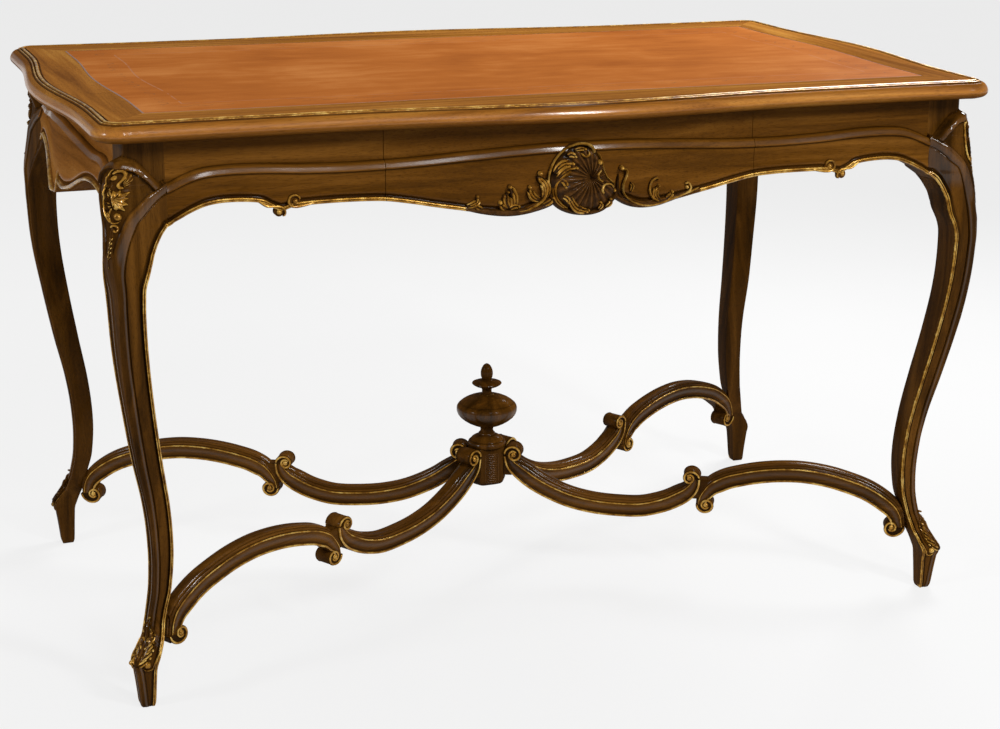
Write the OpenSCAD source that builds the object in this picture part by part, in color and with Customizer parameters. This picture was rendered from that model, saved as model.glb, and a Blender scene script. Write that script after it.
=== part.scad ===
// Writing table with a serpentine leather top, one frieze drawer, cabriole legs
// and a scrolled X stretcher with a turned finial. Millimetres, +Z up.
// The origin is on the floor under the middle of the top. The front faces -Y.

/* [Table] */
// Height of the writing surface above the floor
table_h = 760; // [740:2:790]
// Half length of the top at its corners, out to the gilt line
corner_x = 598; // [580:2:620]
// Half depth of the top at its corners, out to the gilt line
corner_y = 354; // [346:1:366]
// How far the front and back edges bow out in the middle
front_bow = 22; // [10:1:30]
// How far the two ends bow out in the middle
end_bow = 19; // [8:1:26]
// Radius of the gilt line at the corners
corner_r = 20; // [12:1:28]

/* [Top] */
// Thickness of the moulded frame of the top
top_t = 24; // [20:1:30]
// How far the rounded edge stands out past the gilt line
rim_out = 16; // [12:1:20]
// Half length of the leather at its corners
leather_x = 543; // [530:1:550]
// Half depth of the leather
leather_y = 288; // [270:1:300]
// How far the leather's ends bow out in the middle
leather_bow = 9; // [4:1:12]
// Thickness of the leather
leather_t = 1.6; // [1:0.2:2.4]
// Width of the lip under the panel
lip_w = 10; // [6:1:14]
// Height of the lip under the panel
lip_h = 6; // [4:1:8]

/* [Frieze] */
// Distance of the upper band of the frieze behind the gilt line
frieze_set = 20; // [16:1:26]
// How far the lower band stands proud of the upper one
band_proud = 9; // [6:1:12]
// Distance from the middle of the table to the inner face of the front and back aprons
apron_in_y = 306; // [300:1:310]
// Distance from the middle of the table to the inner face of the end aprons
apron_in_x = 548; // [542:1:552]
// Distance from the top of the frieze down to its ridge in the middle
ridge_drop = 35; // [30:1:40]
// Distance from the top of the frieze down to its lower edge beside the drawer
edge_drop = 88; // [80:1:96]
// How much deeper the drawer front hangs in the middle
pendant_drop = 24; // [14:1:34]
// How much deeper the end aprons hang in the middle
end_pendant = 28; // [14:1:36]

/* [Legs] */
// Width of a leg's post along the front
post_x = 50; // [44:1:56]
// Width of a leg's post along the end
post_y = 62; // [54:1:70]
// Depth of the step at the top of the knee
knee_out = 26; // [20:1:30]
// Length of the tenons on the aprons
tenon_l = 20; // [14:1:22]
// Thickness of the tenons on the aprons
tenon_t = 9; // [6:1:12]
// Height of the tenons on the aprons
tenon_h = 34; // [24:1:38]

/* [Drawer] */
// Half width of the drawer front
drawer_hw = 256; // [230:2:270]
// Length of the drawer's sides
drawer_l = 276; // [230:2:280]
// Thickness of the drawer's sides and back
drawer_t = 12; // [9:1:15]
// Height of the drawer's sides
drawer_h = 49; // [40:1:50]
// Thickness of the drawer's bottom
bottom_t = 6; // [4:1:8]
// How far the drawer pulls out
drawer_travel = 210; // [150:10:220]
// Gap around the moving drawer
drawer_gap = 0.5; // [0.3:0.1:1]

/* [Rails] */
// Thickness of the rail above the drawer
top_rail_t = 18; // [14:1:20]
// Thickness of the rail under the drawer
low_rail_t = 12; // [10:1:14]
// Depth of both drawer rails from front to back
rail_d = 44; // [36:2:60]
// Thickness of the rail across the middle of the table
cross_t = 20; // [16:1:26]
// Width of the runners and kickers
runner_w = 26; // [20:1:32]
// Height of the runners' guides above the runners
guide_h = 22; // [14:1:28]
// Radius of the shanks of the top's screws
screw_r = 2.2; // [1.5:0.1:3]

/* [Stretcher] */
// Angle of the arms from the length of the table
arm_angle = 28.4; // [27:0.1:30]
// Distance from the middle to the faces of the block that carry the arms
block_r = 27; // [25:1:32]
// Height of the foot of the block above the floor
block_z = 129; // [120:1:140]
// Height of the block
block_h = 61; // [56:1:70]
// Distance from the middle to the joint in an arm
joint_s = 322; // [290:2:350]
// Distance from the middle to the end of an arm's last volute
seat_s = 624; // [618:1:628]
// Width of an arm across its moulded sides
arm_w = 28; // [24:1:32]
// Depth of an arm from its top to its lower bead
arm_d = 26; // [22:1:30]
// Height of an arm's moulded side, from its lower bead to its gilt line
side_d = 20; // [16:1:21]
// How far an inner arm sags below the foot of the block
sag_h = 39; // [30:1:44]
// How far an outer arm arches above the foot of the block
arch_h = 56; // [44:1:64]
// Radius of the volutes
volute_r = 10.5; // [8:0.5:12]
// Radius of the dowels in the stretcher
dowel_r = 4; // [3:0.5:5]
// Depth of the dowels in each piece
dowel_l = 14; // [10:1:16]
// Largest radius of the turned vase
vase_r = 45; // [36:1:50]
// Height of the turned finial above the block
finial_h = 126.3; // [110:1:140]

/* [Hidden] */

walnut = "#6b4423";
walnut_dark = "#4a2e18";
honey = "#a06a35";
gilt = "#c8a04a";
oak = "#b58b5a";
leather_colour = "#b5623a";
brass = "#b59a52";

// Heights that follow from the driving sizes
frieze_top = table_h - top_t;
panel_z = frieze_top + lip_h;
fit_gap = 0.2;
// Bore of the dowels: the dowel with its clearance
bore_r = dowel_r + fit_gap;
round_fn = 48;

// Curve helpers

// A point on a smooth curve through four neighbours
function blend4(a, b, c, d, t) =
  0.5 * (2 * b + (c - a) * t + (2 * a - 5 * b + 4 * c - d) * t * t
    + (3 * b - a - 3 * c + d) * t * t * t);

// A smooth open curve through the points p, with n steps between neighbours
function smooth(p, n) = [
  for (i = [0 : len(p) - 2], k = [0 : n - 1])
    blend4(p[max(i - 1, 0)], p[i], p[i + 1], p[min(i + 2, len(p) - 1)], k / n),
  p[len(p) - 1]
];

// The value at x of a smooth curve through points [x, value] with rising x
function at(p, x, i = 0) =
  x <= p[0][0] ? p[0][1] :
  x >= p[len(p) - 1][0] ? p[len(p) - 1][1] :
  x > p[i + 1][0] ? at(p, x, i + 1) :
  let (t = (x - p[i][0]) / (p[i + 1][0] - p[i][0]))
  blend4(p[max(i - 1, 0)][1], p[i][1], p[i + 1][1], p[min(i + 2, len(p) - 1)][1], t);

function unit2(v) = v / norm(v);

// The side of curve p at point i, a quarter turn to the left of its run
function left_of(p, i) =
  let (d = unit2(p[min(i + 1, len(p) - 1)] - p[max(i - 1, 0)])) [-d[1], d[0]];

// A closed skin over a stack of rings with the same number of points
module skin(rings) {
  n = len(rings[0]);
  m = len(rings);
  polyhedron(
    points = [for (r = rings, p = r) p],
    faces = concat(
      [[for (j = [n - 1 : -1 : 0]) j]],
      [for (i = [0 : m - 2], j = [0 : n - 1])
        [i * n + j, i * n + (j + 1) % n, (i + 1) * n + j]],
      [for (i = [0 : m - 2], j = [0 : n - 1])
        [i * n + (j + 1) % n, (i + 1) * n + (j + 1) % n, (i + 1) * n + j]],
      [[for (j = [0 : n - 1]) (m - 1) * n + j]]
    )
  );
}

// Plan of the top

// Half depth of the gilt line at a place along the front or back
function front_y(x) =
  let (reach = 0.55 * corner_x)
  corner_y - 4
    + (abs(x) < reach ? front_bow * (0.5 + 0.5 * cos(180 * x / reach)) : 0)
    + (abs(x) > 420 / 598 * corner_x
      ? 4 * (1 - cos(90 * (abs(x) / corner_x - 420 / 598) / (178 / 598))) : 0);

// Half length of the gilt line at a place along an end
function end_x(y) =
  let (reach = 0.72 * corner_y)
  corner_x + (abs(y) < reach ? end_bow * (0.5 + 0.5 * cos(180 * y / reach)) : 0);

// Half length of the leather at a place along an end
function leather_end(y) =
  leather_x + (abs(y) < 0.72 * leather_y
    ? leather_bow * (0.5 + 0.5 * cos(250 * y / leather_y)) : 0);

// Moulding of the top's edge: distance out from the gilt line, drop from the surface
function edge_profile() = [
  [-6, 0], [-4.5, -1.2], [-3.2, -1.2], [-2.2, 0.4], [0, 1], [2.2, 0.2], [3.4, -1.8],
  [5, -1.6], [rim_out * 0.62, -2.6], [rim_out * 0.9, -6.5], [rim_out, -11],
  [rim_out * 0.9, -16], [rim_out * 0.6, 1 - top_t], [0, -top_t]
];

// A ring across the frame of the top: from the lip's edge k by the leather's edge a
// out through the gilt line b
function frame_ring(k, a, b, out) =
  let (n = unit2(out), q = edge_profile())
  concat(
    [[k[0], k[1], frieze_top],
      [k[0], k[1], panel_z],
      [a[0], a[1], panel_z],
      [a[0], a[1], table_h]],
    [for (p = q) [b[0] + p[0] * n[0], b[1] + p[0] * n[1], table_h + p[1]]]
  );

// Half of the corner's rounding, from the middle of the corner towards the front
function corner_front() = [
  for (k = [0 : 2])
    let (w = 45 + k * 15)
    [corner_x - corner_r + corner_r * cos(w), corner_y - corner_r + corner_r * sin(w)]
];

function corner_end() = [
  for (k = [0 : 2])
    let (w = k * 15)
    [corner_x - corner_r + corner_r * cos(w), corner_y - corner_r + corner_r * sin(w)]
];

long_steps = 20;
short_steps = 14;
mitre_in = [leather_x, leather_y];
mitre_out = [corner_x - corner_r + corner_r * cos(45), corner_y - corner_r + corner_r * sin(45)];
// How far the mitre runs along the table for each step across it
mitre_run = (mitre_out[0] - mitre_in[0]) / (mitre_out[1] - mitre_in[1]);

// One half of a long side of the gilt line, from the mitre to the middle
long_half = concat(
  corner_front(),
  [for (k = [0 : long_steps / 2])
    let (x = (corner_x - corner_r - 6) * (1 - 2 * k / long_steps)) [x, front_y(x)]]
);
short_half = concat(
  [for (k = [2 : -1 : 0]) [corner_end()[k][0], corner_end()[k][1]]],
  [for (k = [0 : short_steps / 2])
    let (y = (corner_y - corner_r - 6) * (1 - 2 * k / short_steps)) [end_x(y), y]]
);
// corner_end runs from the end towards the mitre, so its last point is the mitre
short_line = concat([mitre_out], [for (k = [1 : len(short_half) - 1]) short_half[k]]);

// The two whole lines, from one mitre to the other
long_line = concat(
  long_half,
  [for (k = [len(long_half) - 2 : -1 : 0]) [-long_half[k][0], long_half[k][1]]]
);
end_line = concat(
  short_line,
  [for (k = [len(short_line) - 2 : -1 : 0]) [short_line[k][0], -short_line[k][1]]]
);

module long_frame() {
  last = len(long_line) - 1;
  skin([
    for (i = [last : -1 : 0])
      let (
        b = long_line[i],
        a = [b[0] * leather_x / mitre_out[0], leather_y],
        k = [a[0] * (leather_x - mitre_run * lip_w) / leather_x, leather_y - lip_w],
        mitre = unit2(mitre_out - mitre_in),
        out = i == 0 ? mitre : i == last ? [-mitre[0], mitre[1]] : -left_of(long_line, i)
      )
      frame_ring(k, a, b, out)
  ]);
}

module end_frame() {
  last = len(end_line) - 1;
  skin([
    for (i = [0 : last])
      let (
        b = end_line[i],
        y = b[1] * leather_y / mitre_out[1],
        a = [leather_end(y), y],
        k = [a[0] - mitre_run * lip_w, y * (leather_y - lip_w) / leather_y],
        mitre = unit2(mitre_out - mitre_in),
        out = i == 0 ? mitre : i == last ? [mitre[0], -mitre[1]] : left_of(end_line, i)
      )
      frame_ring(k, a, b, out)
  ]);
}

module top_frame_front() { color(honey) mirror([0, 1, 0]) long_frame(); }
module top_frame_back() { color(honey) long_frame(); }
module top_frame_left() { color(honey) mirror([1, 0, 0]) end_frame(); }
module top_frame_right() { color(honey) end_frame(); }

// Outline of the leather, drawn in by a gap
module leather_outline(gap) {
  ys = [for (k = [-8 : 8]) k * (leather_y - gap) / 8];
  polygon(concat(
    [for (y = ys) [leather_end(y) - gap, y]],
    [for (k = [8 : -1 : -8])
      let (y = k * (leather_y - gap) / 8) [gap - leather_end(y), y]]
  ));
}

module top_panel() {
  color(oak)
    difference() {
      union() {
        translate([0, 0, panel_z])
          linear_extrude(height = table_h - leather_t - panel_z)
            leather_outline(fit_gap);
        // the field under the rebate lies on the rails
        translate([0, 0, frieze_top])
          linear_extrude(height = lip_h + 1)
            leather_outline(lip_w + 2 * fit_gap);
      }
      screw_places() cylinder(h = screw_up, r = screw_r + fit_gap, $fn = round_fn);
    }
}

module writing_leather() {
  color(leather_colour)
    translate([0, 0, table_h - leather_t])
      linear_extrude(height = leather_t)
        leather_outline(fit_gap);
}

// Screws that hold the top, up through the kickers and the back rail into the panel
screw_up = 26;
screw_head_r = screw_r + 2.2;
screw_head_h = 3;
screw_z = frieze_top - top_rail_t + screw_head_h;
module screw_places() {
  for (x = [-1, 1], y = [0.12, 0.82])
    translate([x * kicker_x, -y * kicker_l - cross_front, screw_z])
      children();
  for (x = [-1, 1], s = [0.35, 0.85])
    translate([x * s * apron_in_x, apron_in_y - rail_d + 9, screw_z])
      children();
}
module top_screws() {
  color(brass)
    screw_places() {
      cylinder(h = screw_up - 1, r = screw_r, $fn = round_fn);
      translate([0, 0, -screw_head_h])
        cylinder(h = screw_head_h + 0.01, r1 = screw_head_r, r2 = screw_r, $fn = round_fn);
    }
}
// What the screws take out of the rails and kickers
module screw_cuts() {
  screw_places() {
    cylinder(h = screw_up, r = screw_r + fit_gap, $fn = round_fn);
    translate([0, 0, -screw_head_h - 1])
      cylinder(h = screw_head_h + 1.2, r = screw_head_r + fit_gap, $fn = round_fn);
  }
}

// Frieze

joint_x = corner_x - frieze_set - post_x;
joint_y = corner_y - frieze_set - post_y;

// Height of the ridge along the front, from the drop in the middle
ridge_points = [
  [0, 0], [0.12, 1], [0.28, 6], [0.42, 11], [0.56, 13], [0.68, 11], [0.8, 6],
  [0.9, 6], [1, 28]
];
function ridge_z(x) = frieze_top - ridge_drop - at(ridge_points, abs(x) / joint_x);

// Height of the lower edge of the front and back aprons
edge_points = [
  [0, -pendant_drop - 4], [0.05, -pendant_drop], [0.09, -pendant_drop + 10],
  [0.16, -pendant_drop - 2], [0.26, -pendant_drop + 3], [0.36, -13],
  [0.485, 0], [0.57, 4], [0.68, 3], [0.71, 2], [0.74, -1], [0.765, 8], [0.82, 13],
  [0.88, 14], [0.93, 9], [1, -10]
];
function edge_z(x) = frieze_top - edge_drop + at(edge_points, abs(x) / joint_x);

// The same two lines along an end
end_ridge_points = [[0, -10], [0.15, -9], [0.4, 0], [0.65, 9], [0.85, 9], [1, 28]];
function end_ridge_z(y) = frieze_top - ridge_drop - at(end_ridge_points, abs(y) / joint_y);
end_edge_points = [
  [-1, -10], [-0.92, 3], [-0.82, 9], [-0.7, 10], [-0.55, 6], [-0.4, -4], [-0.24, -14],
  [-0.14, -20], [-0.05, -end_pendant - 10], [0.04, -end_pendant - 10], [0.1, -end_pendant + 8],
  [0.18, -20], [0.32, -12], [0.46, 3], [0.57, 9], [0.7, 11], [0.82, 9], [0.92, 3], [1, -10]
];
function end_edge_z(y) = frieze_top - edge_drop + at(end_edge_points, -y / joint_y);

// Section of an apron: out = face of the upper band, in = inner face
function apron_section(inner, face, top, ridge, low) = [
  [inner, low], [inner, top], [face, top], [face, ridge + 7],
  [face + 0.6 * band_proud, ridge + 5.5], [face + band_proud + 1.5, ridge + 1],
  [face + band_proud + 1, ridge - 3.5], [face + band_proud - 1, ridge - 5],
  [face + band_proud - 1, low + 10], [face + band_proud - 3, low + 7.5],
  [face + band_proud + 1, low + 5], [face + band_proud + 1, low + 1.5],
  [face + band_proud - 1.7, low]
];

// A piece of the front frieze from x0 to x1
module front_strip(x0, x1, steps, top) {
  skin([
    for (k = [steps : -1 : 0])
      let (
        x = x0 + (x1 - x0) * k / steps,
        s = apron_section(apron_in_y, front_y(x) - frieze_set, top, ridge_z(x), edge_z(x))
      )
      [for (p = s) [x, -p[0], p[1]]]
  ]);
}

// The end frieze, on the right
module end_strip(steps, top) {
  skin([
    for (k = [steps : -1 : 0])
      let (
        y = joint_y * (2 * k / steps - 1),
        s = apron_section(apron_in_x, end_x(y) - frieze_set, top, end_ridge_z(y), end_edge_z(y))
      )
      [for (p = s) [p[0], y, p[1]]]
  ]);
}

// Where the tenons stand
tenon_z = frieze_top - 60;
front_tenon_y = apron_in_y + 9;
end_tenon_x = apron_in_x + 9;
rail_tenon_h = 12;
rail_tenon_y = apron_in_y - 28;

module front_tenon(gap) {
  translate([joint_x - 0.01, -front_tenon_y - tenon_t - gap, tenon_z - gap])
    cube([tenon_l + gap, tenon_t + 2 * gap, tenon_h + 2 * gap]);
}
module end_tenon(gap) {
  translate([end_tenon_x - gap, -joint_y - tenon_l - gap, tenon_z - gap])
    cube([tenon_t + 2 * gap, tenon_l + gap + 0.01, tenon_h + 2 * gap]);
}
module rail_tenon(gap) {
  translate([joint_x - 0.01, -rail_tenon_y - 12 - gap, frieze_top - rail_tenon_h - 2 - gap])
    cube([tenon_l * 0.8 + gap, 12 + 2 * gap, rail_tenon_h + 2 * gap]);
}

module volute_disc(x, z, r, depth) {
  translate([x, 0, z]) rotate([90, 0, 0]) cylinder(h = depth, r = r, $fn = round_fn);
}

// The scroll pair on the lower edge of a fixed front apron
pair_s = [0.705, 0.742];
module edge_scrolls() {
  for (k = [0, 1])
    let (
      x = pair_s[k] * joint_x,
      face = front_y(x) - frieze_set + band_proud,
      z = edge_z(x) + (k == 0 ? 7 : -2)
    )
    translate([0, -face + 6, 0]) volute_disc(x, z, 6, 8.5);
}

module fixed_front_apron() {
  front_strip(drawer_hw + drawer_gap, joint_x, 16, frieze_top);
  edge_scrolls();
  front_tenon(0);
}

module apron_front_right() { color(walnut) fixed_front_apron(); }
module apron_front_left() { color(walnut) mirror([1, 0, 0]) fixed_front_apron(); }

module end_apron() {
  end_strip(26, frieze_top);
  end_tenon(0);
  mirror([0, 1, 0]) end_tenon(0);
}
module apron_right() { color(walnut) end_apron(); }
module apron_left() { color(walnut) mirror([1, 0, 0]) end_apron(); }

module apron_back() {
  color(walnut)
    mirror([0, 1, 0]) {
      front_strip(-joint_x, joint_x, 48, frieze_top);
      front_tenon(0);
      mirror([1, 0, 0]) front_tenon(0);
    }
}

// Rails inside the frieze

module apron_rail() {
  translate([-joint_x, -apron_in_y, frieze_top - top_rail_t])
    cube([2 * joint_x, rail_d, top_rail_t]);
  rail_tenon(0);
  mirror([1, 0, 0]) rail_tenon(0);
}
module drawer_top_rail() { color(oak) apron_rail(); }
module back_top_rail() {
  color(oak)
    difference() {
      mirror([0, 1, 0]) apron_rail();
      screw_cuts();
    }
}

low_rail_top = frieze_top - top_rail_t - drawer_h - 2 * drawer_gap;
low_rail_hw = drawer_hw + 44;
module drawer_low_rail() {
  color(oak)
    translate([-low_rail_hw, -apron_in_y, low_rail_top - low_rail_t])
      cube([2 * low_rail_hw, rail_d, low_rail_t]);
}

// The rail across the middle carries the back ends of the runners and kickers
cross_front = 0;
cross_z = frieze_top - edge_drop - end_pendant - 9;
module centre_cross_rail() {
  color(walnut_dark)
    translate([-apron_in_x, cross_front, cross_z + 1])
      cube([2 * apron_in_x, cross_t, frieze_top - cross_z - 1]);
}

// Runners and kickers
side_x = drawer_hw - 6;
guide_t = 10;
runner_l = apron_in_y - rail_d - cross_front;
kicker_l = runner_l;
kicker_x = side_x - drawer_t / 2 + 4;
module drawer_runner() {
  translate([side_x - drawer_t - 3, -cross_front - runner_l, low_rail_top - low_rail_t])
    cube([runner_w, runner_l, low_rail_t]);
  translate([side_x + drawer_gap, -cross_front - runner_l, low_rail_top - 0.01])
    cube([guide_t, runner_l, guide_h]);
}
module drawer_runner_right() { color(oak) drawer_runner(); }
module drawer_runner_left() { color(oak) mirror([1, 0, 0]) drawer_runner(); }

module drawer_kicker() {
  difference() {
    translate([kicker_x - runner_w / 2, -cross_front - kicker_l, frieze_top - top_rail_t])
      cube([runner_w, kicker_l, top_rail_t]);
    screw_cuts();
  }
}
module drawer_kicker_right() { color(oak) drawer_kicker(); }
module drawer_kicker_left() { color(oak) mirror([1, 0, 0]) drawer_kicker(); }

// Glue blocks behind the joints of the aprons and the legs
block_leg = 24;
glue_z = frieze_top - 66;
glue_h = 44;
module corner_blocks() {
  color(oak)
    for (mx = [0, 1], my = [0, 1])
      mirror([mx, 0, 0]) mirror([0, my, 0]) {
        translate([0, 0, glue_z])
          linear_extrude(height = glue_h)
            polygon([[joint_x, apron_in_y], [joint_x - block_leg, apron_in_y],
              [joint_x, apron_in_y - block_leg]]);
        translate([0, 0, glue_z])
          linear_extrude(height = glue_h)
            polygon([[apron_in_x, joint_y], [apron_in_x - 18, joint_y],
              [apron_in_x, joint_y - block_leg]]);
      }
}

// Drawer

front_back_y = apron_in_y + drawer_gap;
side_z = low_rail_top + drawer_gap;
groove_z = side_z + 7;
groove_d = 5;
module drawer_front() {
  color(walnut)
    difference() {
      drawer_front_blank();
      // groove for the bottom
      translate([-side_x + drawer_t - groove_d, -front_back_y - groove_d, groove_z - fit_gap])
        cube([2 * (side_x - drawer_t + groove_d), groove_d + 1, bottom_t + 2 * fit_gap]);
      // pocket for the carving
      translate([0, -shell_base, 0])
        rotate([90, 0, 0])
          linear_extrude(height = 30)
            polygon([for (j = [0 : shell_steps - 1]) shell_rim(360 * j / shell_steps, fit_gap)]);
      // laps for the ends of the sides
      for (m = [0, 1])
        mirror([m, 0, 0])
          translate([side_x - drawer_t - fit_gap, -front_back_y - lap_d - fit_gap, side_z - fit_gap])
            cube([drawer_t + 2 * fit_gap, lap_d + 1, drawer_h + 2 * fit_gap]);
    }
}
lap_d = 10;
module drawer_front_blank() {
  steps = 48;
  skin([
    for (k = [steps : -1 : 0])
      let (
        x = (drawer_hw - drawer_gap / 2) * (2 * k / steps - 1),
        s = apron_section(front_back_y, front_y(x) - frieze_set, frieze_top - 2 * drawer_gap,
          ridge_z(x), edge_z(x))
      )
      [for (p = s) [x, -p[0], p[1]]]
  ]);
}

module drawer_side() {
  difference() {
    translate([side_x - drawer_t, -front_back_y - lap_d, side_z])
      cube([drawer_t, drawer_l + lap_d, drawer_h]);
    translate([side_x - drawer_t - 1, -front_back_y - lap_d - 1, groove_z - fit_gap])
      cube([groove_d + 1, drawer_l + lap_d + 2, bottom_t + 2 * fit_gap]);
  }
}
module drawer_side_right() { color(oak) drawer_side(); }
module drawer_side_left() { color(oak) mirror([1, 0, 0]) drawer_side(); }

module drawer_back() {
  color(oak)
    translate([-side_x + drawer_t, -front_back_y + drawer_l - drawer_t - 4, groove_z + bottom_t])
      cube([2 * (side_x - drawer_t), drawer_t, side_z + drawer_h - groove_z - bottom_t - 4]);
}
module drawer_bottom() {
  color(oak)
    translate([-side_x + drawer_t - groove_d + fit_gap, -front_back_y - groove_d + fit_gap, groove_z])
      cube([2 * (side_x - drawer_t + groove_d - fit_gap), drawer_l - 4 + groove_d, bottom_t]);
}

// Shell carved for the middle of the drawer front

shell_r = 46;
shell_z = edge_z(0) + shell_r - 5;
shell_x = -4;
shell_flutes = 11;
shell_steps = 44;
shell_rise = 9;
shell_base = front_y(0) - frieze_set + band_proud - 3;
// The point that the flutes spread from
hinge = [shell_x + 8, shell_z - 16];
// The rim: an egg drawn up to the left
function shell_rim(w, gap = 0) =
  let (r = shell_r + gap + 3.6 * cos(2 * w - 250))
  [shell_x + r * cos(w), shell_z + r * sin(w)];
// How far the carving stands out, from the rim inwards
shell_section = [
  [0, 9], [0.14, 9], [0.3, 6 + shell_rise * 0.8], [0.55, 5 + shell_rise],
  [0.76, 3 + 0.6 * shell_rise], [0.86, 4], [0.93, 10], [1, 7]
];
module shell_carving() {
  us = [1, 1, 0.93, 0.86, 0.76, 0.6, 0.42, 0.26, 0.14, 0.05];
  color(gilt)
    skin([
      for (k = [0 : len(us) - 1])
        [for (j = [0 : shell_steps - 1])
          let (
            w = -360 * j / shell_steps,
            u = us[k],
            p = hinge + u * (shell_rim(w) - hinge),
            flute = u > 0.2 && u < 0.8 ? 1.5 * cos(shell_flutes * w) : 0,
            out = k == 0 ? 0 : at(shell_section, u) + flute
          )
          [p[0], -shell_base - out, p[1]]]
    ]);
}

// Legs

// Down the leg: share of the height, then how far the outer faces lie inside the
// gilt line along x and along y, then the thickness along x and along y
leg_rows = [
  [0, 11, 31, 19, 19], [14, 10, 29, 21, 21], [35, 8, 27, 24, 24], [52, 6, 25, 27, 27],
  [60, 4, 22, 30, 30], [68, 6, 22, 31, 31], [78, 13, 26, 28, 28], [92, 21, 34, 25, 26],
  [115, 28, 46, 23, 23], [150, 35, 51, 24, 24], [200, 37, 50, 26, 26],
  [260, 32, 43, 28, 28], [330, 19, 31, 32, 32], [400, 8, 18, 34, 34],
  [470, -1, 6, 37, 37], [530, -4, 0, 40, 40], [560, -5, -2, 44, 43]
];
// Further up, the inner faces swing out to the joints with the aprons: drop from the
// top of the frieze, insets
// of the outer faces, inner faces as distances from the two joints, how far the inner
// edges have drawn back to the aprons (0 to 1), share of the width above the cap's arc
knee_rows = [
  [151, -6, -3, 25, 34, 0.3, 0], [136, -6, -4, 21.5, 29, 0.5, 0], [124, -6, -4, 18, 24, 0.66, 0],
  [112, -6, -4, 12, 16, 0.82, 0], [104, -6, -4, 6, 8, 0.92, 0], [96, -6, -4, 0, 0, 1, 0],
  [80, -5.5, -3.5, 0, 0, 1, 0], [64, -4.5, -2.5, 0, 0, 1, 0], [52, -3.5, -1.5, 0, 0, 1, 0.12],
  [44, -2, 0, 0, 0, 1, 0.26], [34, 0.5, 2, 0, 0, 1, 0.44], [26, 6, 7, 0, 0, 1, 0.6],
  [21, 13, 13, 0, 0, 1, 0.82]
];
// Faces of the post, level with the upper bands of the aprons
post_face_x = end_x(joint_y) - frieze_set;
post_face_y = front_y(joint_x) - frieze_set;

// One face across its width from the inner edge to the outer corner: share, depth
function face_profile(d) = [
  [0, d], [0.05, 0], [0.14, 0], [0.18, 1.4 * d], [0.52, 1.1 * d], [0.56, 0.2 * d],
  [0.78, 0.9 * d], [0.93, 0.2 * d]
];

// The same face where it draws back by f to the apron beside it
function back_profile(d, f) = [for (p = face_profile(d)) [p[0], p[1] + f * pow(1 - p[0], 2)]];

// The face where the cap's arc crosses it: a share a of the width lies back by f
function cap_profile(a, f) = let (b = 1 - a) [
  [0, f], [0.5 * a, f], [0.97 * a, f], [a + 0.04 * b, 0.4 * f], [a + 0.14 * b, 0.12 * f],
  [a + 0.3 * b, 0.02 * f], [a + 0.6 * b, 0], [0.94, 0]
];

// A ring round the leg at height z with its faces at xo, yo (outer) and xi, yi (inner),
// the profiles qy across the face along x and qx across the face along y, and the
// outer corner rounded by r
inner_c = 1.2;
function leg_ring(z, xo, yo, xi, yi, qx, qy, r) =
  concat(
    [[xi + inner_c, yi, z], [xi, yi + inner_c, z]],
    [for (p = qy) [xi + p[0] * (xo - r - xi), yo - p[1], z]],
    [[xo - r, yo, z], [xo - 0.29 * r, yo - 0.29 * r, z], [xo, yo - r, z]],
    [for (k = [len(qx) - 1 : -1 : 0]) [xo - qx[k][1], yi + qx[k][0] * (yo - r - yi), z]]
  );

// The rows are written for a frieze whose top is 736 high
function leg_height(z) = z * frieze_top / 736;
knee_r = 10;
leg_rings = concat(
  [for (r = leg_rows)
    let (
      xo = corner_x - r[1],
      yo = corner_y - r[2],
      q = face_profile(r[0] < 80 ? 0.5 : 1.6)
    )
    leg_ring(leg_height(r[0]), xo, yo, xo - r[3], yo - r[4], q, q,
      2 + (knee_r - 2) * max(0, (r[0] - 400) / 160))],
  [for (r = knee_rows)
    let (
      xo = corner_x - r[1],
      yo = corner_y - r[2],
      a = r[6],
      side = a > 0 ? 0 : band_proud - 1,
      fx = r[5] * (xo - post_face_x - side),
      fy = r[5] * (yo - post_face_y - side)
    )
    leg_ring(frieze_top - r[0], xo, yo, joint_x + r[3], joint_y + r[4],
      a > 0 ? cap_profile(a, fx) : back_profile(1.6, fx),
      a > 0 ? cap_profile(a, fy) : back_profile(1.6, fy), knee_r)],
  [for (z = [frieze_top - knee_out + 8, frieze_top])
    let (q = face_profile(0))
    leg_ring(z, post_face_x, post_face_y, joint_x, joint_y, q, q, 3)]
);

module arm_space() { rotate([0, 0, arm_angle]) rotate([90, 0, 0]) children(); }

// The inner corner of the leg as the end of an arm meets it
module leg_corner() {
  skin([
    for (r = leg_rows)
      if (r[0] >= 52 && r[0] <= 200)
        let (
          xi = corner_x - r[1] - r[3],
          yi = corner_y - r[2] - r[4],
          z = leg_height(r[0])
        )
        [[xi + inner_c, yi, z], [xi, yi + inner_c, z], [xi, yi + 60, z],
          [xi + 60, yi + 60, z], [xi + 60, yi, z]]
  ]);
}
module leg() {
  difference() {
    skin(leg_rings);
    leg_dowel(bore_r, fit_gap);
    mirror([0, 1, 0]) front_tenon(fit_gap);
    mirror([0, 1, 0]) end_tenon(fit_gap);
    mirror([0, 1, 0]) rail_tenon(fit_gap);
  }
}
module leg_back_right() { color(walnut) leg(); }
module leg_back_left() { color(walnut) mirror([1, 0, 0]) leg(); }
module leg_front_right() { color(walnut) mirror([0, 1, 0]) leg(); }
module leg_front_left() { color(walnut) mirror([1, 0, 0]) mirror([0, 1, 0]) leg(); }

// Stretcher

// All heights of the stretcher follow the foot of its block
inner_len = joint_s - block_r;
outer_len = seat_s - joint_s;

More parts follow.
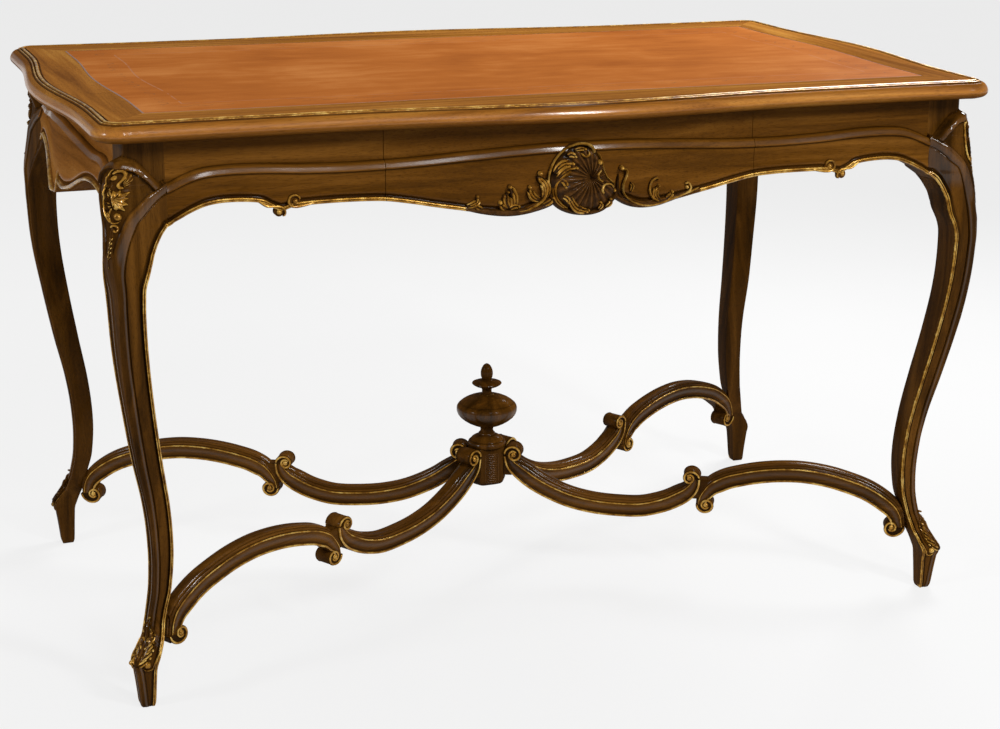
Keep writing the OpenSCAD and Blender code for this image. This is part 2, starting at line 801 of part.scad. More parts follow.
// Lower edge of an inner arm: share of its length, height above the foot of the block
inner_edge = smooth([
  for (p = [[0.024, 47], [0.037, 28], [0.1, 8], [0.18, -10], [0.31, -27], [0.445, -36],
    [0.58, -39], [0.705, -38], [0.81, -30], [0.89, -20], [0.955, -7], [0.988, 10],
    [0.994, 25]])
    [block_r + p[0] * inner_len, block_z + (p[1] < 0 ? p[1] * sag_h / 39 : p[1])]
], 3);
// Upper edge of an outer arm: share of its length, height above the foot of the block
outer_edge = smooth([
  for (p = [[0.01, -13], [0.014, 3], [0.04, 23], [0.1, 37], [0.19, 46], [0.285, 52],
    [0.385, 55.5], [0.5, 56], [0.62, 51], [0.725, 42.5], [0.828, 31], [0.91, 16],
    [0.964, 0], [0.993, -19], [1, -37]])
    [joint_s + p[0] * outer_len, block_z + (p[1] > 0 ? p[1] * arch_h / 56 : p[1])]
], 3);

// How thick an arm is along its run: narrow at the volutes
function arm_depth(u, full) =
  let (e = min(u, 1 - u)) e > 0.2 ? full : volute_r + (full - volute_r) * sin(90 * e / 0.2);

// The band between two depths under an edge line, on the side given by turn
module arm_band(edge, turn, from, to) {
  n = len(edge) - 1;
  near = [for (i = [0 : n])
    let (u = i / n, d = min(from, arm_depth(u, arm_d) * 0.6)) edge[i] + turn * d * left_of(edge, i)];
  far = [for (i = [n : -1 : 0])
    let (u = i / n, d = min(to, arm_depth(u, arm_d))) edge[i] + turn * d * left_of(edge, i)];
  polygon(concat(near, far));
}

// Centre of a volute beside the start or the end of an edge line
function volute_at(edge, i, turn) = edge[i] + turn * volute_r * left_of(edge, i);

bead = 1.4;
pad_w = arm_w - 6;
module inner_arm() {
  a = volute_at(inner_edge, 0, 1);
  b = volute_at(inner_edge, len(inner_edge) - 1, 1);
  color(walnut)
    difference() {
      union() {
        arm_space() {
          linear_extrude(height = arm_w, center = true) arm_band(inner_edge, 1, 0, side_d);
          linear_extrude(height = arm_w * 0.66, center = true)
            arm_band(inner_edge, 1, 0, arm_d);
          linear_extrude(height = arm_w + 2 * bead, center = true)
            arm_band(inner_edge, 1, 0, 3.2);
          for (v = [a, b])
            translate([v[0], v[1], 0])
              cylinder(h = arm_w + 2 * bead, r = volute_r, center = true, $fn = round_fn);
          // the tongue that meets the block
          translate([block_r, block_z + 16, -arm_w / 2 + 2])
            cube([10, 30, arm_w - 4]);
          // the foot of the joint with the outer arm
          translate([joint_s - 16, block_z - 13, -arm_w / 2 + 2])
            cube([16, 44, arm_w - 4]);
        }
      }
      block_dowel(bore_r, fit_gap);
      joint_dowel(bore_r, fit_gap);
      clear_of_joint(1);
    }
}
module outer_arm() {
  a = volute_at(outer_edge, 0, -1);
  b = volute_at(outer_edge, len(outer_edge) - 1, -1);
  color(walnut)
    difference() {
      union() {
        arm_space() {
          linear_extrude(height = arm_w, center = true)
            arm_band(outer_edge, -1, arm_d - side_d, arm_d);
          linear_extrude(height = arm_w * 0.66, center = true)
            arm_band(outer_edge, -1, 0, arm_d);
          linear_extrude(height = arm_w + 2 * bead, center = true)
            arm_band(outer_edge, -1, arm_d - 3.2, arm_d);
          for (v = [a, b])
            translate([v[0], v[1], 0])
              cylinder(h = arm_w + 2 * bead, r = volute_r, center = true, $fn = round_fn);
          translate([joint_s, block_z - 10, -arm_w / 2 + 2])
            cube([14, 38, arm_w - 4]);
          // the pad that fits over the corner of the leg
          translate([0, 0, -pad_w / 2])
            linear_extrude(height = pad_w)
              polygon([[seat_s - 22, block_z - 20], [seat_s - 14, block_z - 46],
                [seat_s + 16, block_z - 46], [seat_s + 16, block_z - 8],
                [seat_s - 5, block_z], [seat_s - 22, block_z]]);
        }
      }
      leg_dowel(bore_r, fit_gap);
      joint_dowel(bore_r, fit_gap);
      clear_of_joint(-1);
      leg_corner();
    }
}
// Everything past the joint plane, on the side that the other arm holds
module clear_of_joint(turn) {
  arm_space()
    translate([turn > 0 ? joint_s : joint_s - 60, block_z - 120, -50])
      cube([60, 240, 100]);
}

module arm_dowel(s, z, before, after, r, gap) {
  arm_space()
    translate([s - before - gap, z, 0])
      rotate([0, 90, 0]) cylinder(h = before + after + 2 * gap, r = r, $fn = round_fn);
}
module block_dowel(r, gap) { arm_dowel(block_r, block_z + block_h / 2, dowel_l - 4, dowel_l + 4, r, gap); }
module joint_dowel(r, gap) { arm_dowel(joint_s, block_z + 9, dowel_l, dowel_l, r, gap); }
module leg_dowel(r, gap) { arm_dowel(seat_s - 8, block_z - 13, dowel_l, dowel_l, r, gap); }

module four_ways() {
  for (mx = [0, 1], my = [0, 1]) mirror([mx, 0, 0]) mirror([0, my, 0]) children();
}
module stretcher_dowels() {
  color(oak)
    four_ways() {
      block_dowel(dowel_r, 0);
      joint_dowel(dowel_r, 0);
      leg_dowel(dowel_r, 0);
    }
}

module inner_arm_back_right() { inner_arm(); }
module inner_arm_back_left() { mirror([1, 0, 0]) inner_arm(); }
module inner_arm_front_right() { mirror([0, 1, 0]) inner_arm(); }
module inner_arm_front_left() { mirror([1, 0, 0]) mirror([0, 1, 0]) inner_arm(); }
module outer_arm_back_right() { outer_arm(); }
module outer_arm_back_left() { mirror([1, 0, 0]) outer_arm(); }
module outer_arm_front_right() { mirror([0, 1, 0]) outer_arm(); }
module outer_arm_front_left() { mirror([1, 0, 0]) mirror([0, 1, 0]) outer_arm(); }

// Block in the middle: four faces carry the arms, the others are panelled
block_y = block_r * 0.82;
block_x = block_r * 1.02;
block_c = [cos(arm_angle), sin(arm_angle)];
block_corner_y = (block_r - block_c[0] * block_x) / block_c[1];
block_corner_x = (block_r - block_c[1] * block_y) / block_c[0];
peg_r = 8;
peg_l = 30;
module block_plan() {
  polygon([
    [block_x, block_corner_y], [block_corner_x, block_y],
    [-block_corner_x, block_y], [-block_x, block_corner_y],
    [-block_x, -block_corner_y], [-block_corner_x, -block_y],
    [block_corner_x, -block_y], [block_x, -block_corner_y]
  ]);
}
module stretcher_block() {
  color(walnut_dark)
    difference() {
      translate([0, 0, block_z]) linear_extrude(height = block_h) block_plan();
      translate([0, 0, block_z + block_h - peg_l])
        cylinder(h = peg_l + 1, r = peg_r + fit_gap, $fn = round_fn);
      // reeded panels on the front and the back
      for (m = [0, 1], k = [0 : 13])
        mirror([0, m, 0])
          translate([-10, block_y - 1.2, block_z + 9 + k * 3])
            cube([20, 4, 1.6]);
      four_ways() block_dowel(bore_r, fit_gap);
    }
}

// The finial's rows are written for a vase of radius 45 and a height of 126.3
function turned(p) = [for (q = p) [q[0] * vase_r / 45, q[1] * finial_h / 126.3]];
module urn_finial() {
  cap = [[0, 0], [27.5, 0], [28.5, 3], [27, 8], [22, 13], [14, 16], [10.5, 18]];
  stem = [[9.5, 22], [9.5, 26], [12, 30]];
  vase = [[24, 34], [35, 41], [42, 48], [45, 56], [44, 62], [40, 67], [33, 72], [26, 76], [16, 79],
    [8, 80]];
  disc = [[7, 84], [7.5, 88], [15, 91], [21.5, 95], [22, 96.5], [18, 99], [9, 100.5], [6.5, 101]];
  acorn = [[8.5, 106], [9, 111], [8, 117], [5.5, 122.5], [2.5, 125.6], [0, 126.3]];
  color(walnut_dark)
    translate([0, 0, block_z + block_h]) {
      rotate_extrude($fn = round_fn) polygon(turned(concat(cap, stem, vase, disc, acorn)));
      translate([0, 0, 1 - peg_l]) cylinder(h = peg_l, r = peg_r, $fn = round_fn);
    }
}

top_frame_front();
top_frame_back();
top_frame_left();
top_frame_right();
top_panel();
writing_leather();
top_screws();
leg_front_left();
leg_front_right();
leg_back_left();
leg_back_right();
apron_front_left();
apron_front_right();
apron_left();
apron_right();
apron_back();
drawer_top_rail();
drawer_low_rail();
centre_cross_rail();
back_top_rail();
drawer_runner_left();
drawer_runner_right();
drawer_kicker_left();
drawer_kicker_right();
corner_blocks();
drawer_front();
drawer_side_left();
drawer_side_right();
drawer_back();
drawer_bottom();
shell_carving();
stretcher_block();
urn_finial();
stretcher_dowels();
inner_arm_front_left();
inner_arm_front_right();
inner_arm_back_left();
inner_arm_back_right();
outer_arm_front_left();
outer_arm_front_right();
outer_arm_back_left();
outer_arm_back_right();
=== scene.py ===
"""The writing table as it looks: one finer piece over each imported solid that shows."""
import math
import bmesh
import bpy
import numpy as np
from mathutils import Matrix, Vector

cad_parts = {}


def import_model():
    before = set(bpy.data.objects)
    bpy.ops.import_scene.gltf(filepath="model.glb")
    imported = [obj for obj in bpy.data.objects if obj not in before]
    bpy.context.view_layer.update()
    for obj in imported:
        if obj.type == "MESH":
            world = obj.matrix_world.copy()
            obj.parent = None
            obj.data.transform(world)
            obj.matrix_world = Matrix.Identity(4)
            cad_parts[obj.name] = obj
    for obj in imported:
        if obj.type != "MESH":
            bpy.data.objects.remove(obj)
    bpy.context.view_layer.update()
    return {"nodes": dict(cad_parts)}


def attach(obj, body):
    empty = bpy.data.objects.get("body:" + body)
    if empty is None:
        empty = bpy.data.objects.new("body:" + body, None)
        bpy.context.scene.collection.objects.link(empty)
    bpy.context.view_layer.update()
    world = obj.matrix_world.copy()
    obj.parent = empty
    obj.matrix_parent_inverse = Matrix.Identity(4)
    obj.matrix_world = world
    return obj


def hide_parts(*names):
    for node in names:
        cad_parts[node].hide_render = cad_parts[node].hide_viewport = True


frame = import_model()
MM = 0.001

# Sizes of the table in millimetres, most of them as in the part's source

TABLE_H = 760.0
FRIEZE_TOP = 736.0
CORNER_X = 598.0
CORNER_Y = 354.0
FRONT_BOW = 22.0
END_BOW = 19.0
# Where the swellings and the ears at the corners begin, as shares of the half length and half depth
FRONT_REACH = 0.55
END_REACH = 0.72
EAR_START = 420 / 598
EAR_RUN = 178 / 598
EAR_OUT = 4
CORNER_R = 20.0
LEATHER_X = 543.0
LEATHER_Y = 288.0
LEATHER_BOW = 9.0
LIP = 10.0
LIP_Z = 742.0
LEATHER_Z = 759.85
LEATHER_LOW = 758.4
FRIEZE_SET = 20.0
BAND_PROUD = 9.0
APRON_IN_Y = 306.0
APRON_IN_X = 548.0
RIDGE_DROP = 35.0
EDGE_DROP = 88.0
JOINT_X = 528.0
JOINT_Y = 272.0
DRAWER_HW = 256.0
ARM_ANGLE = math.radians(28.4)
BLOCK_R = 27.0
BLOCK_Z = 129.0
BLOCK_H = 61.0
JOINT_S = 322.0
SEAT_S = 624.0
ARM_D = 26.0
ARM_THICK = 28.5
BEAD_H = 3.4
DRUM_HALF = 14.3

# Points round a circle of each kind, and a small length against division by zero
BOSS_POINTS = 14
DISC_POINTS = 24
DRUM_POINTS = 48
TURNED_POINTS = 72
TINY = 1e-9


# Curve helpers

def curve_at(points, x):
    """Values at x of a smooth curve through rows of position and values."""
    p = np.array(points, float)
    x = np.clip(np.asarray(x, float), p[0, 0], p[-1, 0])
    i = np.clip(np.searchsorted(p[:, 0], x, side="right") - 1, 0, len(p) - 2)
    t = (x - p[i, 0]) / (p[i + 1, 0] - p[i, 0])
    a = p[np.maximum(i - 1, 0), 1:]
    b = p[i, 1:]
    c = p[i + 1, 1:]
    d = p[np.minimum(i + 2, len(p) - 1), 1:]
    t = t[..., None]
    v = 0.5 * (2 * b + (c - a) * t + (2 * a - 5 * b + 4 * c - d) * t**2 + (3 * b - a - 3 * c + d) * t**3)
    return v[..., 0] if v.shape[-1] == 1 else v


def along(values, u):
    """Values at u, from one number, from numbers at even steps, or from rows of place and value."""
    if np.isscalar(values):
        return np.full(len(u), float(values))
    if isinstance(values, tuple):
        values = list(zip(np.linspace(0, 1, len(values)), values))
    return curve_at(values, u)


def smooth_line(points, n):
    """A smooth open curve through points, n steps between neighbours."""
    p = np.array(points, float)
    rows = np.column_stack([np.arange(len(p)), p])
    return curve_at(rows, np.linspace(0, len(p) - 1, (len(p) - 1) * n + 1)).reshape(-1, p.shape[1])


def even_line(points, step):
    """The same curve with its points about one step apart."""
    p = smooth_line(points, 24)
    run = np.concatenate([[0], np.cumsum(np.linalg.norm(np.diff(p, axis=0), axis=1))])
    count = max(3, int(round(run[-1] / step)) + 1)
    s = np.linspace(0, run[-1], count)
    return np.column_stack([np.interp(s, run, p[:, k]) for k in range(p.shape[1])])


def ease(a, b, x):
    """Zero before a, one after b, with a smooth rise between."""
    t = np.clip((np.asarray(x, float) - a) / (b - a), 0, 1)
    return t * t * (3 - 2 * t)


def normals_of(line, least=0.0):
    """Unit vectors square to a line."""
    d = np.gradient(line, axis=0)
    d /= np.linalg.norm(d, axis=1)[:, None] + least
    return np.column_stack([-d[:, 1], d[:, 0]])


def circle(x, z, r, n, high):
    """Rows x, z, height of n points round a circle."""
    w = np.linspace(0, 2 * math.pi, n + 1)[:-1]
    return np.column_stack([x + r * np.cos(w), z + r * np.sin(w), np.full(n, high)])


def bow(at, reach, size):
    """The swelling in the middle of a side of the top."""
    return np.where(at < reach, size * (0.5 + 0.5 * np.cos(np.pi * at / reach)), 0)


def front_y(x):
    """Half depth of the gilt line along the front or back."""
    x = np.abs(x)
    turn = np.clip((x / CORNER_X - EAR_START) / EAR_RUN, 0, 2)
    ear = EAR_OUT * (1 - np.cos(np.pi / 2 * turn))
    return CORNER_Y - EAR_OUT + bow(x, FRONT_REACH * CORNER_X, FRONT_BOW) + ear


def end_x(y):
    """Half length of the gilt line along an end."""
    return CORNER_X + bow(np.abs(y), END_REACH * CORNER_Y, END_BOW)


def leather_end(y):
    """Half length of the leather along an end."""
    swell = LEATHER_BOW * (0.5 + 0.5 * np.cos(np.radians(250) * np.asarray(y) / LEATHER_Y))
    return LEATHER_X + np.where(np.abs(y) < END_REACH * LEATHER_Y, swell, 0)


# How far the ridge drops and the lower edge lies above its mean, by share of the run to the leg
RIDGE = [[0, 0], [0.12, 1], [0.28, 6], [0.42, 11], [0.56, 13], [0.68, 11.5], [0.777, 8.4], [0.84, 7.6],
         [0.875, 8], [0.907, 9.2], [0.936, 12.2], [0.966, 18], [1, 25.5]]
EDGE = [[0, -28], [0.05, -24], [0.09, -16], [0.16, -28], [0.2, -27.5], [0.26, -24.5], [0.31, -20],
        [0.36, -15.5], [0.42, -9.5], [0.485, -4.2], [0.55, -2.6], [0.62, -2.4], [0.68, -3], [0.71, -4.5],
        [0.735, -8], [0.755, -4], [0.775, 2], [0.8, 5], [0.84, 6.6], [0.88, 6.4], [0.915, 3.4],
        [0.95, -3.6], [0.985, -12.6], [1, -17.6]]
END_RIDGE = [[0, -10], [0.15, -9], [0.4, 0], [0.65, 9], [0.85, 9], [1, 28]]
END_EDGE = [[-1, -12], [-0.93, -3], [-0.85, -1], [-0.74, -5], [-0.62, -10], [-0.5, -14], [-0.4, -18],
            [-0.33, -25], [-0.27, -37], [-0.22, -43], [-0.15, -44], [-0.09, -36], [-0.04, -24], [0.0, -20],
            [0.05, -21], [0.1, -22.5], [0.154, -23], [0.228, -20], [0.3, -15.5], [0.38, -8], [0.46, 0],
            [0.533, 6], [0.6, 9], [0.684, 9.5], [0.757, 7], [0.83, 3], [0.92, -3.5], [1, -12]]


def ridge_z(x):
    """Height of the ridge over the lower band, along the front and back."""
    return FRIEZE_TOP - RIDGE_DROP - curve_at(RIDGE, np.abs(x) / JOINT_X)


def edge_z(x):
    """Height of the lower edge, along the front and back."""
    return FRIEZE_TOP - EDGE_DROP + curve_at(EDGE, np.abs(x) / JOINT_X)


def end_ridge_z(y):
    """Height of the ridge along an end."""
    return FRIEZE_TOP - RIDGE_DROP - curve_at(END_RIDGE, np.abs(y) / JOINT_Y)


def end_edge_z(y):
    """Height of the lower edge along an end, which differs from front to back."""
    return FRIEZE_TOP - EDGE_DROP + curve_at(END_EDGE, -np.asarray(y, float) / JOINT_Y)


# Material helpers

def colour(r, g, b):
    """A colour given as eight bit numbers, as the shader wants it."""
    return tuple(((c / 255 + 0.055) / 1.055) ** 2.4 if c > 10 else c / 255 / 12.92 for c in (r, g, b)) + (1,)


class Graph:
    """Short ways to add and join nodes of one material."""

    def __init__(self, name):
        self.material = bpy.data.materials.new(name)
        self.material.use_nodes = True
        self.tree = self.material.node_tree
        self.shader = self.tree.nodes["Principled BSDF"]

    def node(self, kind, inputs=(), **settings):
        made = self.tree.nodes.new("ShaderNode" + kind)
        for key, value in settings.items():
            setattr(made, key, value)
        for key, value in dict(inputs).items():
            self.join(value, made.inputs[key])
        return made

    def join(self, value, socket):
        if isinstance(value, bpy.types.NodeSocket):
            self.tree.links.new(value, socket)
        else:
            socket.default_value = value

    def maths(self, operation, a, b=0.0):
        return self.node("Math", {0: a, 1: b}, operation=operation).outputs[0]

    def times(self, a, b):
        return self.maths("MULTIPLY", a, b)

    def plus(self, a, b):
        return self.maths("ADD", a, b)

    def off(self, value, at):
        """How far value is from at."""
        return self.maths("ABSOLUTE", self.maths("SUBTRACT", value, at))

    def blend(self, factor, a, b, kind="MIX"):
        made = self.node("Mix", data_type="RGBA", blend_type=kind)
        for socket, value in ((0, factor), (6, a), (7, b)):
            self.join(value, made.inputs[socket])
        return made.outputs[2]

    def span(self, value, low, high, to_low=0.0, to_high=1.0):
        return self.node("MapRange", {0: value, 1: low, 2: high, 3: to_low, 4: to_high}).outputs[0]

    def grey(self, value):
        return self.node("CombineColor", {0: value, 1: value, 2: value}).outputs[0]

    def noise(self, vector, scale, detail=3.0, rough=0.55, twist=0.0):
        return self.node("TexNoise", {"Vector": vector, "Scale": scale, "Detail": detail,
                                      "Roughness": rough, "Distortion": twist}).outputs["Fac"]

    def ramp(self, value, stops):
        made = self.node("ValToRGB", {0: value})
        elements = made.color_ramp.elements
        while len(elements) < len(stops):
            elements.new(0.5)
        for element, (place, tint) in zip(elements, stops):
            element.position = place
            element.color = tint
        return made.outputs[0]

    def place(self, turn=0.0, stretch=(1, 1, 1)):
        """Object coordinates turned about the upright axis, then stretched."""
        point = self.node("TexCoord").outputs["Object"]
        if turn:
            point = self.node("Mapping", {0: point, "Rotation": (0, 0, -turn)}).outputs[0]
        return self.node("Mapping", {0: point, "Scale": stretch}).outputs[0]

    def value_of(self, name):
        return self.node("Attribute", attribute_name=name).outputs["Fac"]

    def finish(self, base, rough, height, strength, distance, metal=0.0, **fixed):
        for name, value in (("Base Color", base), ("Roughness", rough), ("Metallic", metal)):
            self.join(value, self.shader.inputs[name])
        bump = self.node("Bump", {"Height": height, "Strength": strength, "Distance": distance})
        self.join(bump.outputs[0], self.shader.inputs["Normal"])
        for key, value in fixed.items():
            self.shader.inputs[key.replace("_", " ")].default_value = value
        return self.material


# Tones of polished crests and their coat, and the middle of the leather's border
CREST_TONES = (1.03, 1.12)
CREST_COAT = 0.75
BORDER_MID = 40.0


def wood(name, dark, mid, light, grain="X", turn=0.0, gilded=True, gloss=0.32, coat=0.06, figure=1.0,
         roll=0.72):
    """Polished wood: long streaks, cloudy figure, pores, and where it is marked, worn gilding and painted
    shade from the tone.
    """
    g = Graph(name)
    axis = "XYZ".index(grain)

    def stretched(along_grain, across):
        return g.place(turn, [along_grain if k == axis else across for k in range(3)])

    # scales along and across the grain
    streak = g.noise(stretched(1.6, 46), 1.0, 6.0, 0.62, 0.7)
    cloud = g.noise(stretched(2.2, 9), 1.0, 2.0, 0.5, 0.4)
    pores = g.noise(stretched(70, 1500), 1.0, 2.0, 0.6)
    fleck = g.noise(stretched(26, 300), 1.0, 3.0, 0.6)
    mixed = g.plus(g.times(streak, 0.62), g.times(cloud, 0.38))
    half = 0.13 / figure
    base = g.ramp(mixed, [(0.5 - half, dark), (0.5, mid), (0.5 + half, light)])
    base = g.blend(g.span(pores, 0.36, 0.46, 0.42, 0.0), base, [c * 0.35 for c in dark[:3]] + [1])
    base = g.blend(g.span(fleck, 0.55, 0.75, 0.0, 0.22), base, light)
    rough = g.span(cloud, 0.3, 0.7, gloss - 0.06, gloss + 0.08)
    metal = 0.0
    height = g.plus(g.times(pores, 0.35), g.times(fleck, 0.3))
    polish = coat
    if gilded:
        # tones below one are painted shade; tones above one mark the polished crests: more coat, and by roll
        # a darker base under it, or with roll at one, as on the top, a lighter base as painted highlight
        tone = g.value_of("tone")
        polish = g.span(tone, *CREST_TONES, coat, CREST_COAT)
        base = g.blend(1.0, base, g.grey(g.times(tone, g.span(tone, *CREST_TONES, 1.0, roll))), "MULTIPLY")
        base, rough, metal = add_gilding(g, base, rough, g.value_of("gold"))
    g.join(polish, g.shader.inputs["Coat Weight"])
    return g.finish(base, rough, height, 0.25, 0.0004, metal, Coat_Roughness=0.16, Specular_IOR_Level=0.0)


def add_gilding(g, base, rough, mark):
    """Old gold over the base where mark is near one, rubbed through in places."""
    point = g.place()
    rub = g.noise(point, 240, 4.0, 0.6)
    coarse = g.noise(point, 60, 3.0, 0.6)
    mask = g.plus(mark, g.times(g.maths("SUBTRACT", rub, 0.52), 1.1))
    mask = g.span(mask, 0.5, 0.72)
    gold = g.ramp(coarse, [(0.32, colour(112, 72, 20)), (0.5, colour(176, 128, 48)),
                           (0.68, colour(222, 184, 100))])
    return g.blend(mask, base, gold), g.plus(rough, g.times(mask, 0.04)), g.times(mask, 0.45)


def gilt(name):
    """Carved wood under old gold: bright gilding where it stands out, brown in the hollows, which the tone
    darkens as painted shade.
    """
    g = Graph(name)
    grime = g.noise(g.place(), 150, 4.0, 0.6)
    base = g.ramp(grime, [(0.35, colour(62, 38, 14)), (0.55, colour(88, 56, 22))])
    base = g.blend(1.0, base, g.grey(g.value_of("tone")), "MULTIPLY")
    base, rough, metal = add_gilding(g, base, 0.36, g.value_of("gold"))
    return g.finish(base, rough, grime, 0.3, 0.0005, metal, Coat_Weight=0.14, Coat_Roughness=0.16,
                    Specular_IOR_Level=0.0)


def tooled_leather(name):
    """Waxed leather, rubbed lighter in patches, with a tooled border near its edge."""
    g = Graph(name)
    point = g.place()
    patch = g.noise(point, 5.5, 3.0, 0.55, 0.5)
    streak = g.noise(g.place(0, (2.2, 8, 8)), 3.2, 5.0, 0.65, 0.6)
    grain = g.noise(point, 900, 3.0, 0.6)
    base = g.ramp(g.plus(g.times(patch, 0.5), g.times(streak, 0.5)), [
        (0.34, colour(150, 84, 34)), (0.5, colour(168, 98, 42)), (0.66, colour(186, 118, 60))])
    base = g.blend(g.span(grain, 0.35, 0.6, 0.22, 0.0), base, colour(128, 58, 24))
    # the border's layer gives the run along the edge and the distance in from it, in millimetres
    run, inset, _ = g.node("SeparateXYZ", {0: g.node("UVMap", uv_map="border").outputs[0]}).outputs
    worn = g.noise(point, 40, 4.0, 0.7)

    def line(at, width):
        return g.span(g.off(inset, at), width * 0.5, width * 0.5 + 0.5, 1.0, 0.0)

    # a wavy stem with a leaf in each bend, pressed into the leather
    wave = g.times(g.maths("SINE", g.times(run, 0.24)), 4.5)
    stem = g.span(g.off(g.maths("SUBTRACT", inset, BORDER_MID), wave), 0.6, 1.3, 1.0, 0.0)
    cell = g.node("CombineXYZ", {0: g.times(run, 0.19), 1: g.times(inset, 0.26), 2: 0.0}).outputs[0]
    petals = g.node("TexVoronoi", {"Vector": cell, "Scale": 1.0, "Randomness": 0.65}, feature="F1").outputs[0]
    leaves = g.times(g.span(petals, 0.16, 0.34, 1.0, 0.0),
                     g.span(g.off(inset, BORDER_MID), 6.5, 9.5, 1.0, 0.0))
    roll = g.times(g.maths("MAXIMUM", stem, leaves), g.span(worn, 0.42, 0.62))
    inner = g.times(line(60.0, 1.3), g.span(worn, 0.38, 0.5))
    for mark, share, tint in ((roll, 0.7, colour(108, 76, 52)), (inner, 0.6, colour(168, 122, 96)),
                              (line(1.2, 2.0), 0.8, colour(136, 120, 114))):
        base = g.blend(g.times(mark, share), base, tint)
    height = g.maths("SUBTRACT", g.times(grain, 0.35), g.maths("MAXIMUM", roll, inner))
    rough = g.span(patch, 0.3, 0.7, 0.5, 0.4)
    return g.finish(base, rough, height, 0.25, 0.0004, Coat_Weight=0.05, Coat_Roughness=0.35,
                    Specular_IOR_Level=0.0)


def brass(name):
    """Satin brass with some tarnish."""
    g = Graph(name)
    tarnish = g.noise(g.place(), 420, 4.0, 0.6)
    base = g.ramp(tarnish, [(0.35, colour(112, 84, 40)), (0.6, colour(188, 152, 84))])
    return g.finish(base, g.span(tarnish, 0.3, 0.7, 0.5, 0.32), tarnish, 0.2, 0.0002, 1.0)


# Three shades each, dark to light
WALNUT = (colour(62, 36, 6), colour(98, 60, 14), colour(130, 84, 28))
DARK = (colour(52, 31, 6), colour(82, 50, 12), colour(112, 72, 24))
# a lighter walnut for the end aprons
END_WALNUT = (colour(116, 70, 22), colour(146, 92, 36), colour(168, 114, 54))
BORDER = (colour(112, 66, 20), colour(146, 92, 32), colour(174, 120, 50))
OAK = (colour(146, 110, 66), colour(176, 138, 90), colour(198, 164, 116))

M = {
    "front": wood("walnut_front", *WALNUT, "X", figure=0.8),
    "end": wood("walnut_end", *END_WALNUT, "Y", coat=0.02),
    "leg": wood("walnut_leg", *DARK, "Z"),
    "arm_a": wood("walnut_arm_a", *DARK, "X", ARM_ANGLE),
    "arm_b": wood("walnut_arm_b", *DARK, "X", -ARM_ANGLE),
    "turned": wood("walnut_turned", *DARK, "Z"),
    "top_x": wood("walnut_top_x", *BORDER, "X", gloss=0.42, coat=0.07, roll=1.0),
    "top_y": wood("walnut_top_y", *BORDER, "Y", gloss=0.42, coat=0.07, roll=1.0),
    "oak_x": wood("oak_x", *OAK, "X", gilded=False, gloss=0.6, coat=0.0),
    "oak_y": wood("oak_y", *OAK, "Y", gilded=False, gloss=0.6, coat=0.0),
    "plain": wood("walnut_plain", *DARK, "X", gilded=False, gloss=0.5, coat=0.1),
    "gilt": gilt("gilt_carving"),
    "leather": tooled_leather("tooled_leather"),
    "brass": brass("screw_brass"),
}


# Mesh helpers

def spread(values, count):
    """A value for each point, from one number or from all of them."""
    values = np.asarray(values, float).ravel()
    return np.full(count, values[0]) if len(values) == 1 else values


def piece(name, points, faces, material, nodes=(), body="table", gold=0.0, tone=1.0, angle=32, uv=None):
    """A piece of the table from points in millimetres, with its marks for gold and tone."""
    points = np.asarray(points, float).reshape(-1, 3)
    mesh = bpy.data.meshes.new(name)
    mesh.from_pydata((points * MM).tolist(), [], [list(f) for f in faces])
    for key, values in (("gold", gold), ("tone", tone)):
        layer = mesh.attributes.new(key, "FLOAT", "POINT")
        layer.data.foreach_set("value", spread(values, len(points)).astype(np.float32))
    if uv is not None:
        layer = mesh.uv_layers.new(name="border")
        loops = np.zeros(len(mesh.loops), int)
        mesh.loops.foreach_get("vertex_index", loops)
        layer.data.foreach_set("uv", np.asarray(uv, float)[loops].ravel())
    work = bmesh.new()
    work.from_mesh(mesh)
    bmesh.ops.recalc_face_normals(work, faces=work.faces)
    work.to_mesh(mesh)
    work.free()
    mesh.shade_smooth()
    mesh.set_sharp_from_angle(angle=math.radians(angle))
    mesh.materials.append(M[material])
    obj = bpy.data.objects.new(name, mesh)
    bpy.context.scene.collection.objects.link(obj)
    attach(obj, body)
    if nodes:
        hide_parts(*nodes)


def loft(rings):
    """Points and faces of a capped skin over rings of the same count."""
    rings = np.asarray(rings, float)
    m, n = rings.shape[:2]
    faces = []
    for i in range(m - 1):
        for j in range(n):
            k = (j + 1) % n
            faces.append((i * n + j, i * n + k, (i + 1) * n + k, (i + 1) * n + j))
    faces.append(tuple(range(n - 1, -1, -1)))
    faces.append(tuple((m - 1) * n + j for j in range(n)))
    return rings.reshape(-1, 3), faces


def turned_over(points, x=False, y=False):
    """The mirror picture of points across the middle of the table."""
    out = np.array(points, float)
    if x:
        out[..., 0] *= -1
    if y:
        out[..., 1] *= -1
    return out


class Pile:
    """Several skins that become one piece, and the surface that its carving follows."""

    def __init__(self, surface=None):
        self.surface = surface
        self.points = []
        self.faces = []
        self.gold = []
        self.tone = []
        self.count = 0

    def add(self, points, faces, gold=0.0, tone=1.0):
        points = np.asarray(points, float).reshape(-1, 3)
        self.points.append(points)
        self.faces += [tuple(k + self.count for k in f) for f in faces]
        self.gold.append(spread(gold, len(points)))
        self.tone.append(spread(tone, len(points)))
        self.count += len(points)

    def make(self, name, material, nodes=(), body="table", x=False, y=False, angle=32):
        piece(name, turned_over(np.concatenate(self.points), x, y), self.faces, material,
              nodes, body, np.concatenate(self.gold), np.concatenate(self.tone), angle)
